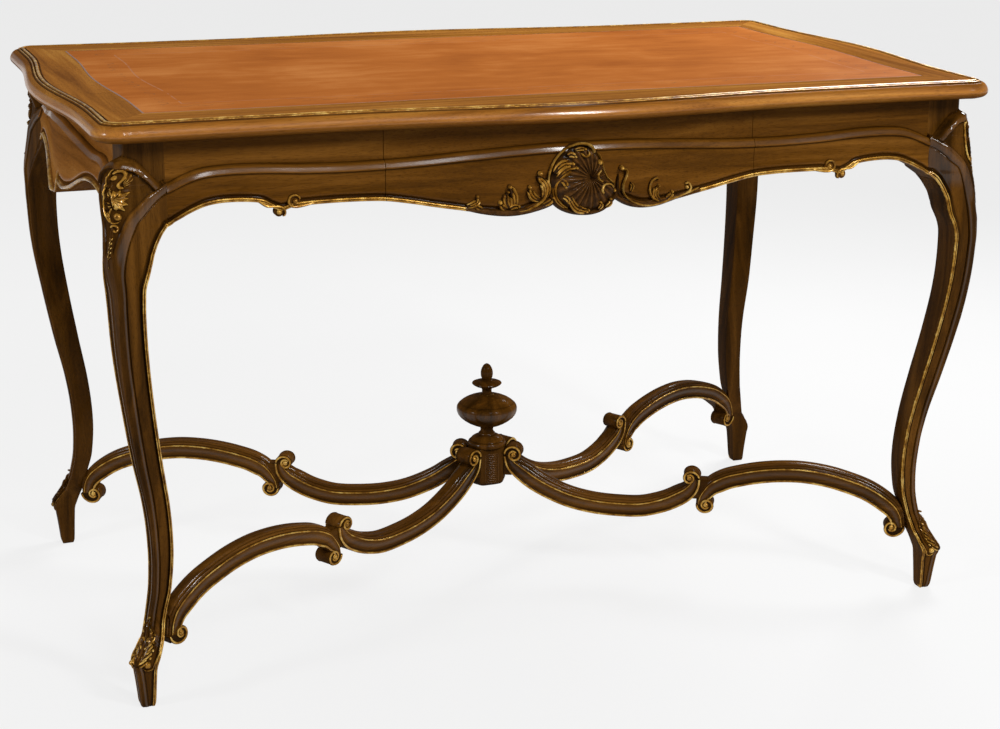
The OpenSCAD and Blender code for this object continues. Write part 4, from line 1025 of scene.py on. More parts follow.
def leg_rings():
    """The sections of the back right leg, with gold and tone."""
    rings = []
    gold = []
    tone = []
    for z in np.concatenate([[0, 0.8, 2, 4, 7], np.linspace(12, 556, 110), np.linspace(560, 717, 105),
                             [718.5, 722, 729, 735.4, 736]]):
        xo, yo, xi, yi, back = curve_at(SHAPE, z)
        xi = max(xi, JOINT_X)
        yi = max(yi, JOINT_Y)
        r = 2.5 + 7.5 * min(max((z - 420) / 150, 0), 1)
        if z > KNEE_TOP:
            k = min((z - KNEE_TOP) / 3.5, 1)
            low = curve_at(SHAPE, KNEE_TOP)
            xo = low[0] + (POST_X - low[0]) * k
            yo = low[1] + (POST_Y - low[1]) * k
            xi = JOINT_X
            yi = JOINT_Y
            r = 3
        foot = 1.6 * max(0, 1 - z / 7) ** 2
        xo -= foot
        yo -= foot
        xi += foot
        yi += foot
        x, face_y, gx, tx = knee_face(z, 0, xi, xo, r, yo, back)
        y, face_x, gy, ty = knee_face(z, 1, yi, yo, r, xo, back)
        w = np.linspace(0, math.pi / 2, 7)[1:-1]
        corner = np.column_stack([xo - r + (face_x[-1] - (xo - r)) * np.sin(w),
                                  yo - r + (face_y[-1] - (yo - r)) * np.cos(w)])
        ring = np.concatenate([
            [[xi + 1.5, yi + 0.2], [xi + 0.4, yi + 0.4], [xi + 0.2, yi + 1.5]],
            np.column_stack([x, face_y]), corner, np.column_stack([face_x, y])[::-1]])
        rings.append(np.column_stack([ring, np.full(len(ring), z)]))
        gold.append(np.concatenate([np.zeros(3), gx, np.zeros(5), gy[::-1]]))
        # the inner corner is darkened as painted shade
        tone.append(np.concatenate([[0.8] * 3, tx, np.full(5, 1.05), ty[::-1]]))
    return np.array(rings), np.array(gold), np.array(tone)


EDGES = [edge_curve(0), edge_curve(1)]
LEG = leg_rings()
# The place of the corner's middle in a ring, and the run round each ring from there
LEG_MID = 3 + FACE_POINTS + 2
LEG_STEPS = np.linalg.norm(np.diff(LEG[0][:, :, :2], axis=1), axis=2)
LEG_RUN = np.hstack([np.zeros((len(LEG_STEPS), 1)), np.cumsum(LEG_STEPS, axis=1)])
LEG_RUN = LEG_RUN - LEG_RUN[:, LEG_MID:LEG_MID + 1]
# Above the ankle the carving stands out by this share
KNEE_LIFT = 0.6


def leg_surface(p):
    """Points given by run round the corner (more is towards the long side), height and lift."""
    zs = LEG[0][:, 0, 2]
    out = []
    for run, z, lift in np.asarray(p, float):
        i = int(np.clip(np.searchsorted(zs, z) - 1, 0, len(zs) - 2))
        t = float(np.clip((z - zs[i]) / (zs[i + 1] - zs[i]), 0, 1))

        def spot(q):
            return [(1 - t) * np.interp(-q, LEG_RUN[i], LEG[0][i, :, a]) +
                    t * np.interp(-q, LEG_RUN[i + 1], LEG[0][i + 1, :, a]) for a in (0, 1)]

        here = spot(run)
        ahead = spot(run - 3)
        behind = spot(run + 3)
        tx = ahead[0] - behind[0]
        ty = ahead[1] - behind[1]
        size = math.hypot(tx, ty) + TINY
        lift = lift * (1 - (1 - KNEE_LIFT) * min(max((z - 120) / 60, 0), 1))
        out.append([here[0] - ty / size * lift, here[1] + tx / size * lift, z])
    return np.array(out)


def leg_carving(pile, k):
    """Knee scrolls, buds down the corner, and a leaf over the ankle. k is the side with the long scroll."""
    def side(points):
        return [[k * x, z] for x, z in points]

    # the long scroll, open towards the corner, with dark lobes inside
    strand(pile, side([[3, 704], [8, 701], [12.5, 694], [15.5, 683], [16, 671], [14.5, 660], [10, 651],
        [4, 645], [-1, 642.5]]), (2.6, 3.2, 2.8), 6, 0, 1.2, ends=0.05)
    leaf(pile, side([[6, 688], [2, 684], [3, 694], [7, 699], [10.5, 693], [10, 685], [6, 681]]),
        6, 5, 0.5, 0.7)
    leaf(pile, side([[6, 666], [1, 658], [1.5, 670], [5, 678], [11, 674], [12, 665], [8, 656]]),
        6.5, 7, 0.45, 0.7)
    boss(pile, k * 4.5, 651.5, 3.2, 8, 0, 0.8)
    # the hook and the leaves on the other side
    strand(pile, side([[1.6, 698], [-1.5, 701.8], [-6, 702.4], [-10.5, 701], [-13, 696.5], [-11.4, 691],
        [-10, 687], [-12, 683.6], [-16.5, 682.6]]), [[0, 3], [0.4, 4.4], [1, 3.4]], 7, 0, 1.0, ends=0.06)
    boss(pile, -k * 2.4, 694.6, 2.9, 7.5)
    leaf(pile, side([[-15.4, 686], [-14, 690], [-14.4, 696.5], [-17.5, 699], [-21, 696], [-23, 690.5],
        [-20.6, 685.6], [-17, 684]]), 6.5, 6, 0.75)
    leaf(pile, side([[-6.5, 670], [-3.5, 675], [-6, 680.5], [-10, 678.5], [-14, 681], [-15, 677],
        [-23.5, 678.5], [-18.5, 673], [-23, 670.5], [-18, 667.5], [-22, 662.5], [-16, 662],
        [-17.5, 655.5], [-12, 658.5], [-7, 657], [-5.5, 663]]), 7, 8, 1.15, 1.15)
    for a, b, c, z in ((2.5, 673, -2.5, 681), (3.5, 674, 1.5, 683), (3, 671, -4, 675), (3, 665, -3, 666),
                       (3.5, 662, -2.5, 659), (4, 660, 0, 653)):
        strand(pile, side([[-a, b], [-(a + c) / 2, (b + z) / 2 + 0.6], [-c, z]]), 1.5, 5.5, 0, 0.9,
            gold=0.8, ends=0.2)
    strand(pile, side([[3.5, 654], [2.5, 647], [-1, 642.6], [-6, 642.4], [-10.5, 645]]), 1.8, 5, 0, 1.0,
        gold=0.7, ends=0.1)
    boss(pile, -k * 7.8, 649.4, 4.6, 7)
    boss(pile, -k * 7.8, 649.8, 2.2, 8.6, 0, 0.6)
    strand(pile, side([[1, 637], [-2.4, 639.6], [-6.4, 638], [-7, 634.4], [-4.4, 632.2], [-2.6, 634.4]]),
        2.7, 5.5, 0, 0.8, ends=0.05)
    strand(pile, side([[1.4, 634], [1.2, 624], [0.6, 612], [0, 600], [0, 588]]), (2, 1.2), 2.6, 0, 1.2,
        gold=0.4, ends=0.05)
    for z in (624, 619, 613.5, 608, 603):
        leaf(pile, side([[-1, z - 2], [-0.2, z - 3], [0.8, z], [-0.6, z + 2.6], [-3, z + 0.6],
            [-2.2, z - 2.4]]), 3, 3, 0.75)
    # the leaf over the ankle, the same on both sides
    for k in (1, -1):
        strand(pile, side([[1.5, 113], [5, 105], [9.5, 97], [13, 87], [15.5, 76], [13, 66], [8, 60]]),
            (2, 3.4, 3), 3.6, -0.4, 1.1, gold=0.35, ends=0.06, shade=0.8)
        for a, z in ((9, 98), (10.5, 90), (13.6, 81.5), (15, 73)):
            plume(pile, side([[2, z - 11], [a * 0.6, z - 6], [a, z - 1]]), 6, 4.6, -0.4, 2, 1.0, gold=0.85)
        boss(pile, k * 15.5, 62.5, 4.4, 6.0, -0.4)
        strand(pile, side([[24, 92], [26, 80], [25.5, 66], [21.5, 56.5], [15, 54], [9, 57.5]]), [[0, 2],
            [0.6, 2.8], [1, 2.2]], (1.5, 3, 3), -0.4, 1.1, ends=0.06)
    plume(pile, [[0, 60], [0, 76], [0, 92], [0, 108], [0, 117]], 10, 4.8, -0.4, 3, 0.8, gold=0.5)


# How far three of the legs stand out from the middle one way, by height: the legs differ by hand
LEG_LEAN = {
    "leg_front_right": [[0, 0], [300, 0], [400, 2.4], [480, 3.2], [545, 3], [585, 0.5], [620, -1.5],
                        [690, -1], [712, 0]],
    "leg_front_left": [[0, 0], [300, 0], [400, -0.5], [470, -1], [530, -0.3], [548, -0.1], [560, 0.8],
                       [575, 2.7], [590, 3.8], [606, 4.2], [622, 3], [637, 2], [655, 3.6], [670, 5.5],
                       [690, 4], [708, 0]],
    "leg_back_left": [[0, 0], [580, 0], [612, -4], [636, -6], [684, -5.5], [700, -1], [712, 0]],
}
# The front right knee's corner is flatter: the way it faces, and how far out it reaches by height
KNEE_WAY = (0.836, 0.55)
KNEE_X = 600
KNEE_Z = [560, 576, 588, 600, 612, 624, 636, 648, 672, 684, 696, 708]
KNEE_OUT = [5, 1, -1.5, -3, -4, -6.5, -9.5, -11, -15, -17.5, -18, -22]


def flatten_corner(p):
    """Moves the points of a knee in along its corner to KNEE_OUT, and its inner side out a little."""
    way_x, way_y = KNEE_WAY
    out = way_x * (p[:, 0] - KNEE_X) + way_y * (p[:, 1] - CORNER_Y)
    over = 0.7 * np.clip(out - np.interp(p[:, 2], KNEE_Z, KNEE_OUT), 0, 20)
    over = over * ease(556, 580, p[:, 2]) * (1 - ease(708, 716, p[:, 2]))
    p[:, 0] -= way_x * over
    p[:, 1] -= way_y * over
    near = ease(528, 538, p[:, 0]) * (1 - ease(556, 588, p[:, 0]))
    p[:, 0] += 4 * near * ease(572, 600, p[:, 2]) * (1 - ease(636, 652, p[:, 2]))


# Share of the gold on the end faces at the back and at the front, and on the carving at the back
END_GOLD = (0.35, 0.9)
BACK_GOLD = 0.55


def leg(name, x, y):
    """One leg: the same rings, mirrored, less gilt at the back, and bent by a listed lean where it has one.
    """
    rings, gold, tone = LEG
    pile = Pile(leg_surface)
    points, faces = loft(rings)
    on_end = np.arange(rings.shape[1]) > LEG_MID
    # each leg gets its own copy of the points, which are bent below
    pile.add(points.copy(), faces, gold * np.where(on_end, END_GOLD[y], 1.0), tone)
    leg_carving(pile, 1 if x != y else -1)
    if not y:
        pile.gold[1:] = [BACK_GOLD * g for g in pile.gold[1:]]
    if name == "leg_front_right":
        # this knee's top catches the light
        pile.tone[0] = pile.tone[0] * (1 + 0.35 * ease(600, 660, pile.points[0][:, 2]))
    if name in LEG_LEAN:
        steps = np.arange(0, 740, 4.0)
        leans = curve_at(LEG_LEAN[name], steps)
        for p in pile.points:
            p[:, 0] += np.interp(p[:, 2], steps, leans) * np.maximum(ease(556, 590, p[:, 0]),
                                                                     1 - ease(545, 575, p[:, 2]))
            if name == "leg_front_right":
                flatten_corner(p)
    pile.make(name + "_carved", "leg", [name], x=x, y=y)


leg("leg_back_right", False, False)
leg("leg_back_left", True, False)
leg("leg_front_right", False, True)
leg("leg_front_left", True, True)


# Stretcher

# Edges of the arms: share of the length, and height against the block's middle
INNER_EDGE = [[0.0, 47], [0.02, 28], [0.09, 7], [0.18, -10], [0.31, -26.5], [0.445, -35.5], [0.58, -38.5],
              [0.705, -37.5], [0.81, -30], [0.89, -20], [0.955, -7], [0.992, 9], [1.0, 25]]
OUTER_EDGE = [[-0.02, -13], [-0.012, 3], [0.03, 24], [0.1, 37.5], [0.19, 46], [0.285, 52], [0.385, 55.5],
              [0.5, 56], [0.62, 51.5], [0.725, 43.5], [0.828, 32.5], [0.91, 18.5], [0.97, 3], [1.0, -14],
              [1.008, -33]]


def arm_line(rows, start, length):
    """An edge of an arm: rows of share of its length and height."""
    return even_line([[start + a * length, BLOCK_Z + b] for a, b in rows], 2.2)


# Section of an arm, from the middle of its lower face round one side to the middle of its top:
# half width, height above the lower edge as a share of the side, gold and tone, whose low values are painted
# shade in the grooves
ARM_SIDE = [
    [0, 0, 0, 0.7], [11.5, 0, 0.2, 0.8], [13.6, 0.4, 1, 1.05], [14.5, 1.6, 1, 1.1], [14.1, 2.8, 1, 1.05],
    [13.0, 3.4, 0.2, 0.7], [12.0, 4.1, 0, 0.35], [11.6, 5.0, 0, 0.4], [11.8, 6.4, 0, 0.8],
    [12.2, 9, 0, 1.05], [12.7, 12, 0, 1.1], [13.2, 15, 0, 1.05], [13.6, 16.8, 0, 1.0],
    [14.0, 17.6, 0.3, 0.9], [14.3, 18.4, 1, 1.1], [14.0, 19.3, 1, 1.0], [13.1, 19.7, 0.1, 0.45],
    [12.2, 19.8, 0, 0.4], [11.6, 20.4, 0, 0.8], [11.2, 21.4, 0, 1.05], [10.4, 22.2, 0, 1.1],
    [9.4, 22.4, 0, 0.6], [8.8, 22.7, 0, 0.55], [8.6, 23.6, 0, 1.0], [8.0, 24.9, 0, 1.1],
    [6.6, 25.8, 0, 1.1], [3, 26, 0, 1.0], [0, 26, 0, 1.0],
]


def arm_section():
    """The whole section of an arm, from its half."""
    half = np.array(ARM_SIDE)
    return np.concatenate([half, half[-2:0:-1] * [-1, 1, 1, 1]])


def arm_body(line, turn, near_r, far_r):
    """The moulded body of an arm: line is its lower edge if turn is 1, its upper edge if -1."""
    sec = arm_section()
    n = len(line)
    normal = normals_of(line)
    u = np.linspace(0, 1, n)
    near, far = [r + (ARM_THICK - r) * np.sin(np.pi / 2 * np.clip(run / 0.16, 0, 1))
                 for r, run in ((near_r, u), (far_r, 1 - u))]
    depth = np.where(u < 0.5, near, far)
    low = np.minimum(sec[:, 1], BEAD_H)
    high = np.maximum(sec[:, 1] - BEAD_H, 0)
    rings = []
    for k in range(n):
        rise = low + high * (depth[k] - BEAD_H) / (ARM_D - BEAD_H)
        if turn < 0:
            rise = depth[k] - rise
        p = line[k] + turn * normal[k] * rise[:, None]
        rings.append(np.column_stack([p[:, 0], sec[:, 0], p[:, 1]]))
    return *loft(rings), np.tile(sec[:, 2], (n, 1)), np.tile(sec[:, 3], (n, 1))


def spiral_radius(rows, part):
    """Radius of a scroll after part of a turn: its outside, and the gilt line that winds to its eye."""
    out = curve_at(rows, np.clip(part, 0, 1))
    k = np.clip((part - 0.5) / 0.95, 0, 1) ** 1.2
    return out, (out - 1.7) * (1 - k) + 4.6 * k


def flat_surface(half, way, z0=0.0):
    """A surface square to Y on one side: points x, z and height over it."""
    def surface(p):
        p = np.asarray(p, float)
        return np.column_stack([p[:, 0], way * (half + p[:, 2]), z0 + p[:, 1]])

    return surface


def drum(pile, s, z, rows, start, hand):
    """A scrolled end across the arm, with a gilt scroll on both faces. Rows: part of a turn, radius."""
    part = np.linspace(0, 1, DRUM_POINTS + 1)[:-1]
    w = start + hand * 2 * math.pi * part
    r, _ = spiral_radius(rows, part)
    turn = np.linspace(0, 1.42, 26)
    v = start + hand * 2 * math.pi * turn
    _, face = spiral_radius(rows, turn)

    def ring(radius, y):
        return np.column_stack([s + radius * np.cos(w), np.full(DRUM_POINTS, y), z + radius * np.sin(w)])

    for side in (1, -1):
        rings = [ring(r - shrink, side * y) for shrink, y in (
            (0, 0), (0, DRUM_HALF - 0.9), (0.4, DRUM_HALF - 0.2), (1.0, DRUM_HALF - 0.1),
            (2.0, DRUM_HALF - 1.6), (3.2, DRUM_HALF - 1.9))]
        rings.append(ring(0.5, side * (DRUM_HALF - 1.9)))
        # the sunk face inside the drum's rim is darkened as painted shade
        pile.add(*loft(rings), np.repeat([0, 0, 0.3, 0.4, 0, 0, 0], DRUM_POINTS),
                 np.repeat([0.85, 0.95, 0.9, 0.6, 0.3, 0.32, 0.3], DRUM_POINTS))
        pile.surface = flat_surface(DRUM_HALF - 1.7, side)
        strand(pile, np.column_stack([s + face * np.cos(v), z + face * np.sin(v)]),
               (3.2, 3.6, 3.2), 2.3, 0, 0.9, base=-0.6, ends=0.03)
        boss(pile, s, z, 3.9, 2.8, gold=0.8)


def along_arm(p):
    """From the arm's own run and side to the table."""
    c = math.cos(ARM_ANGLE)
    s = math.sin(ARM_ANGLE)
    return np.column_stack([p[:, 0] * c - p[:, 1] * s, p[:, 0] * s + p[:, 1] * c, p[:, 2]])


def box_skin(x0, x1, half, z0, z1):
    """A block along the arm with its four long corners cut. The heights are against the block's middle."""
    c = 1.5
    z0 = BLOCK_Z + z0
    z1 = BLOCK_Z + z1
    ring = [[-half + c, z0], [half - c, z0], [half, z0 + c], [half, z1 - c], [half - c, z1], [-half + c, z1],
            [-half, z1 - c], [-half, z0 + c]]
    return loft([[[x, y, z] for y, z in ring] for x in (x0, x1)])


# Scrolled ends: part of a turn and radius
BLOCK_END = [[0, 15.5], [0.12, 15], [0.25, 14], [0.5, 11.4], [0.75, 10.4], [1, 10]]
JOINT_IN = [[0, 16.5], [0.12, 14], [0.25, 11.6], [0.5, 9.2], [0.75, 9.0], [1, 9]]
JOINT_OUT = [[0, 14.8], [0.12, 14], [0.25, 12.8], [0.5, 11.4], [0.75, 9.6], [1, 9]]
LEG_END = [[0, 20], [0.12, 17], [0.25, 14.5], [0.5, 10.6], [0.75, 9.2], [1, 9]]

# How much lower each corner's arms hang at the joint and at the leg
HANG = {"front_left": (4, 7), "back_left": (6, 9), "back_right": (2.5, 4), "front_right": (0, 0.5)}


def arm(name, inner, x, y):
    """One arm. The inner ones sag from the block to the joint, the outer ones arch on to the leg."""
    pile = Pile()
    if inner:
        turn = 1
        line = arm_line(INNER_EDGE, BLOCK_R, JOINT_S - BLOCK_R)
        near_end, far_end = BLOCK_END, JOINT_IN
        tenons = ((BLOCK_R + 0.1, BLOCK_R + 12, 12, 18, 46, 0.7),
                  (JOINT_S - 18, JOINT_S - 0.1, 11, -6, 26, 0.6))
    else:
        turn = -1
        line = arm_line(OUTER_EDGE, JOINT_S, SEAT_S - JOINT_S)
        near_end, far_end = JOINT_OUT, LEG_END
        tenons = ((JOINT_S + 0.1, JOINT_S + 14, 11, -8, 24, 0.6),
                  (SEAT_S - 20, SEAT_S - 2, 11, -46, -8, 0.7))
    normal = normals_of(line)
    pile.add(*arm_body(line, turn, near_end[0][1], far_end[0][1]))
    for k, rows, start, hand in ((0, near_end, math.pi, -turn), (-1, far_end, 0.0, turn)):
        centre = line[k] + turn * rows[0][1] * normal[k]
        drum(pile, *centre, rows, start, hand)
    for *box, tone in tenons:
        pile.add(*box_skin(*box), 0, tone)
    joint, seat = HANG[name.split("arm_")[1]]
    for p in pile.points:
        run = ease(BLOCK_R + 30, JOINT_S, p[:, 0]) if inner else 1.0
        out = np.zeros(len(p)) if inner else (p[:, 0] - JOINT_S) / (SEAT_S - JOINT_S)
        p[:, 2] -= joint * run + (seat - joint) * out
    pile.points = [along_arm(p) for p in pile.points]
    # the grain follows the arm: the material depends on which way the arm points
    pile.make(name + "_moulded", "arm_a" if x == y else "arm_b", [name], x=x, y=y)


for side_name, x, y in (("back_right", False, False), ("back_left", True, False),
                        ("front_right", False, True), ("front_left", True, True)):
    arm("inner_arm_" + side_name, True, x, y)
    arm("outer_arm_" + side_name, False, x, y)


# Turned rows of the finial: radius, height over the block, tone, and which rows are gilt. Tones below one are
# painted shade in the turned grooves and underneath
FINIAL_ROWS = [
    [0, 0, 0.7], [26.6, 0, 0.7], [27.6, 0.6, 0.9], [28.3, 2.0, 1], [28.4, 3.6, 1], [28, 5.4, 1.1],
    [27, 7.4, 1], [26, 8.3, 0.5], [25, 8.8, 0.5], [24.4, 9.8, 1], [22.6, 12, 1], [19, 14.4, 1],
    [15, 15.8, 0.9], [12.4, 16.6, 0.6], [12, 17.2, 0.9], [12.6, 18.4, 1.1], [12, 19.8, 1],
    [10.4, 21, 0.7], [9.5, 23, 0.9], [9.4, 25.4, 0.9], [10, 27.6, 0.9], [12, 29.6, 0.8],
    [13.6, 30.6, 0.6], [15, 31, 0.8], [22, 33.4, 1], [29, 37, 1], [35, 41, 1], [39.6, 45, 1],
    [43, 49.4, 1.05], [44.7, 53.8, 1.1], [45, 57.6, 1.1], [44.4, 61, 1.05], [42.6, 64, 1],
    [40.4, 66, 0.8], [39.6, 66.4, 0.5], [38.6, 67.6, 0.9], [34, 70.8, 1], [28, 73.8, 1],
    [21, 76.4, 1], [14, 78.4, 0.9], [10, 79.2, 0.7], [8, 80.4, 0.6], [7.2, 82.4, 0.9],
    [7.1, 86, 0.9], [8, 88.6, 0.8], [12, 90.4, 0.8], [17, 92.4, 1], [20.6, 94.4, 1.1],
    [22, 96.2, 1.1], [21.4, 97.4, 1], [18, 98.8, 1], [12, 100, 1], [8.6, 101, 0.7], [6.8, 102.2, 0.6],
    [7.2, 103.6, 0.8], [8.4, 106, 1], [9, 109.6, 1], [9, 113, 1.05], [8.4, 116.6, 1],
    [7.2, 120, 1], [5.6, 122.8, 1], [3.6, 125, 1], [1.6, 126.1, 1], [0.05, 126.3, 1],
]
NECK_BEAD = 40
DISC_EDGE = slice(44, 46)


def finial():
    """The turned urn with its cap, neck, disc and bud."""
    rings = [circle(0, 0, r, TURNED_POINTS, BLOCK_Z + BLOCK_H + z) for r, z, _ in FINIAL_ROWS]
    rings[0] = rings[1] * [0.02, 0.02, 1]
    gold = np.zeros((len(FINIAL_ROWS), TURNED_POINTS))
    gold[NECK_BEAD] = 0.55
    gold[DISC_EDGE] = 0.5
    points, faces = loft(rings)
    piece("urn_finial_turned", points, faces, "turned", ["urn_finial"], gold=gold,
          tone=np.repeat([t for _, _, t in FINIAL_ROWS], TURNED_POINTS))


finial()


def block():
    """The block: arm faces, and a reeded panel in its front and back."""
    c = math.cos(ARM_ANGLE)
    s = math.sin(ARM_ANGLE)
    by = BLOCK_R * 0.82
    bx = BLOCK_R * 1.02
    cy = (BLOCK_R - c * bx) / s
    cx = (BLOCK_R - s * by) / c
    plan = np.array([[bx, cy], [cx, by], [-cx, by], [-bx, cy], [-bx, -cy], [-cx, -by], [cx, -by], [bx, -cy]])
    fine = np.array([a + (b - a) * t for a, b in zip(plan, np.roll(plan, -1, axis=0))
                     for t in (0.04, 0.35, 0.65, 0.96)])
    # height, size and tone of each ring; the tone falls at the chamfered bottom and at the top edge under the
    # urn, as painted shade
    rows = ((0, 0.5, 0.4), (3, 0.8, 0.5), (6, 0.93, 0.6), (9, 0.985, 0.7), (12, 1, 0.7), (40, 1, 0.7),
            (60.2, 1, 0.6), (61, 0.98, 0.5))
    pile = Pile()
    pile.add(*loft([np.column_stack([fine * f, np.full(len(fine), BLOCK_Z + z)]) for z, f, _ in rows]), 0,
             np.repeat([t for _, _, t in rows], len(fine)))
    reeds = [([[-8, z], [0, z], [8, z]], 2.3, 1.1) for z in [11 + 2.9 * k for k in range(14)]]
    border = [([[-10, z], [0, z], [10, z]], 1.8, 0.8) for z in (8, 52)]
    border += [([[x, 8], [x, 30], [x, 52]], 1.8, 0.8) for x in (-10, 10)]
    for way in (1, -1):
        pile.surface = flat_surface(by, way, BLOCK_Z)
        for line, width, rise in reeds + border:
            strand(pile, line, width, rise, 0, 2.0, gold=0, base=-0.5, ends=0.02)
    pile.make("stretcher_block_panelled", "turned", ["stretcher_block"])


block()


# Shell and leaves in the middle of the drawer front

SHELL_FLUTES = 24


def shell():
    """The shell: two fans of fine flutes from one hub, leaves over them, and a scrolled rim."""
    hub = np.array([11.0, 662.0])
    rim = even_line([
        [33, 665], [30, 674], [26, 685], [20, 694], [12, 702], [-1, 706.5], [-18.5, 703.5],
        [-32.5, 694], [-41.5, 682], [-47, 667], [-47.5, 653], [-43, 638], [-33.5, 627], [-20, 620],
        [-4, 615.5], [13, 615], [29, 619.5], [41, 629], [47.5, 638], [46, 647], [40, 654],
        [36, 659]], 1.0)
    pile = Pile(front_surface)
    n = len(rim)
    angle = np.unwrap(np.arctan2(rim[:, 1] - hub[1], rim[:, 0] - hub[0]))
    rings = []
    tone = []
    flute = np.cos(SHELL_FLUTES * angle + 0.8 * np.sin(3 * angle))
    for u in (1.02, 1.0, 0.97, 0.94, 0.9, 0.85, 0.78, 0.7, 0.6, 0.5, 0.4, 0.3, 0.21, 0.13, 0.07, 0.02):
        h = 3.0 + 7.5 * math.sin(math.pi * min(u * 0.82 + 0.1, 1)) + 1.4 * np.sin(2.2 * angle + 0.6)
        h = h + 1.15 * flute * ease(0.08, 0.25, u) * ease(0.9, 0.8, u)
        h = h - 2.0 * ease(0.82, 0.9, u)
        if u > 0.95:
            # the rim, and its root inside the drawer front
            h = np.full(n, -2.0 if u > 1 else 1.0)
        if u < 0.16:
            # the hub sinks
            h = h - 4.0 * (0.16 - u) / 0.16
        rings.append(front_surface(np.column_stack([hub + u * (rim - hub), h])))
        # painted shade in the flutes' hollows and round the rim
        tone.append((0.42 + 0.62 * (0.5 + 0.5 * flute)) * (0.45 if u > 0.84 else 1.0))
    pile.add(*loft(rings), 0.0, np.array(tone))
    # rim: a thin gilt edge that ends in a curl at the top right, and carries on below in dark wood
    strand(pile, [[-46, 652], [-47, 664], [-44.5, 675], [-40, 685.5], [-32, 695.5], [-21, 703], [-8, 706.5],
        [3, 706], [11, 702], [14, 696], [11, 692.5]], [[0, 2.4], [0.6, 3], [0.85, 4.6], [1, 4]],
        (7, 8.5, 10), 0, 1.3, ends=0.04)
    strand(pile, [[-45, 650], [-42, 638], [-33, 627.5], [-20, 620.5], [-4, 616.5], [13, 616], [28, 620],
        [40, 629.5], [46.5, 639], [43, 648]], (5, 6, 5), (6, 7, 8), 0, 1.4, gold=0.12, ends=0.05, shade=0.7)
    strand(pile, [[-42, 654], [-41, 642], [-35, 631], [-24, 623.5]], (2.2, 2.6, 2), 9, 0, 1.1, ends=0.1)
    strand(pile, [[20, 694], [25, 683], [27, 672], [32.5, 662], [39, 656], [46, 651]], (3, 3.6, 2.6),
        (9, 9.5, 7.5), 0, 1.2, ends=0.06)
    boss(pile, 21.5, 681.5, 4.0, 13.5)
    # the inner scroll and the leaves
    strand(pile, [[-12, 669], [-26, 667], [-35.5, 660], [-39, 650.5], [-37, 639], [-29.5, 629.5],
        [-19, 622.5]], [[0, 2], [0.3, 3.4], [0.7, 3], [1, 2.2]], (13, 11, 9), 0, 1.1, ends=0.08)
    plume(pile, [[-41, 671], [-36, 678], [-28, 683], [-17, 682.5]], 9, 6.5, 7.5, 3)
    plume(pile, [[-37, 664], [-31, 670.5], [-23, 675.5], [-12, 677]], 8.5, 6.5, 8, 3)
    plume(pile, [[-24, 692], [-19, 694], [-13, 691]], 5, 5, 7.5, 2)
    strand(pile, [[-5, 695], [0, 690.5], [5, 692.5], [5.5, 697]], 3.0, 5.5, 8, 0.8, ends=0.12)
    plume(pile, [[-14, 699], [-6, 700.5], [1, 700]], 3.6, 4, 6.5, 2)
    plume(pile, [[-33, 662], [-27.5, 658.5], [-26.5, 652.5]], 5, 5, 9, 2)
    plume(pile, [[-30, 641], [-24, 637.5], [-21.5, 632]], 4.5, 5, 8, 2)
    plume(pile, [[-20, 641], [-16.5, 631], [-9, 622.5], [3, 619]], 7.5, 6, 7, 3, lead=0)
    plume(pile, [[-9, 627], [-2, 622], [6, 620.5]], 4, 5, 6.5, 2)
    plume(pile, [[30, 622], [36, 627], [37.5, 633]], 4, 4.5, 7, 2)
    plume(pile, [[20, 620], [24, 625], [23, 630]], 3.6, 4, 7, 2)
    strand(pile, [[23, 672.5], [18.5, 667], [19.5, 660.5], [26, 656.5]], 3.2, 6, 7.5, 0.8, ends=0.08)
    strand(pile, [[27, 640], [24.5, 646.5], [28, 653], [36.5, 652.5], [41, 647]], (3.6, 2.6), 6.5, 7.5, 0.8,
        ends=0.08)
    boss(pile, 43, 643.5, 2.8, 10.5)
    boss(pile, 31, 645.5, 2.2, 12, 0, 0.3)
    pile.make("shell_carving_carved", "gilt", ["shell_carving"], "drawer", angle=50)


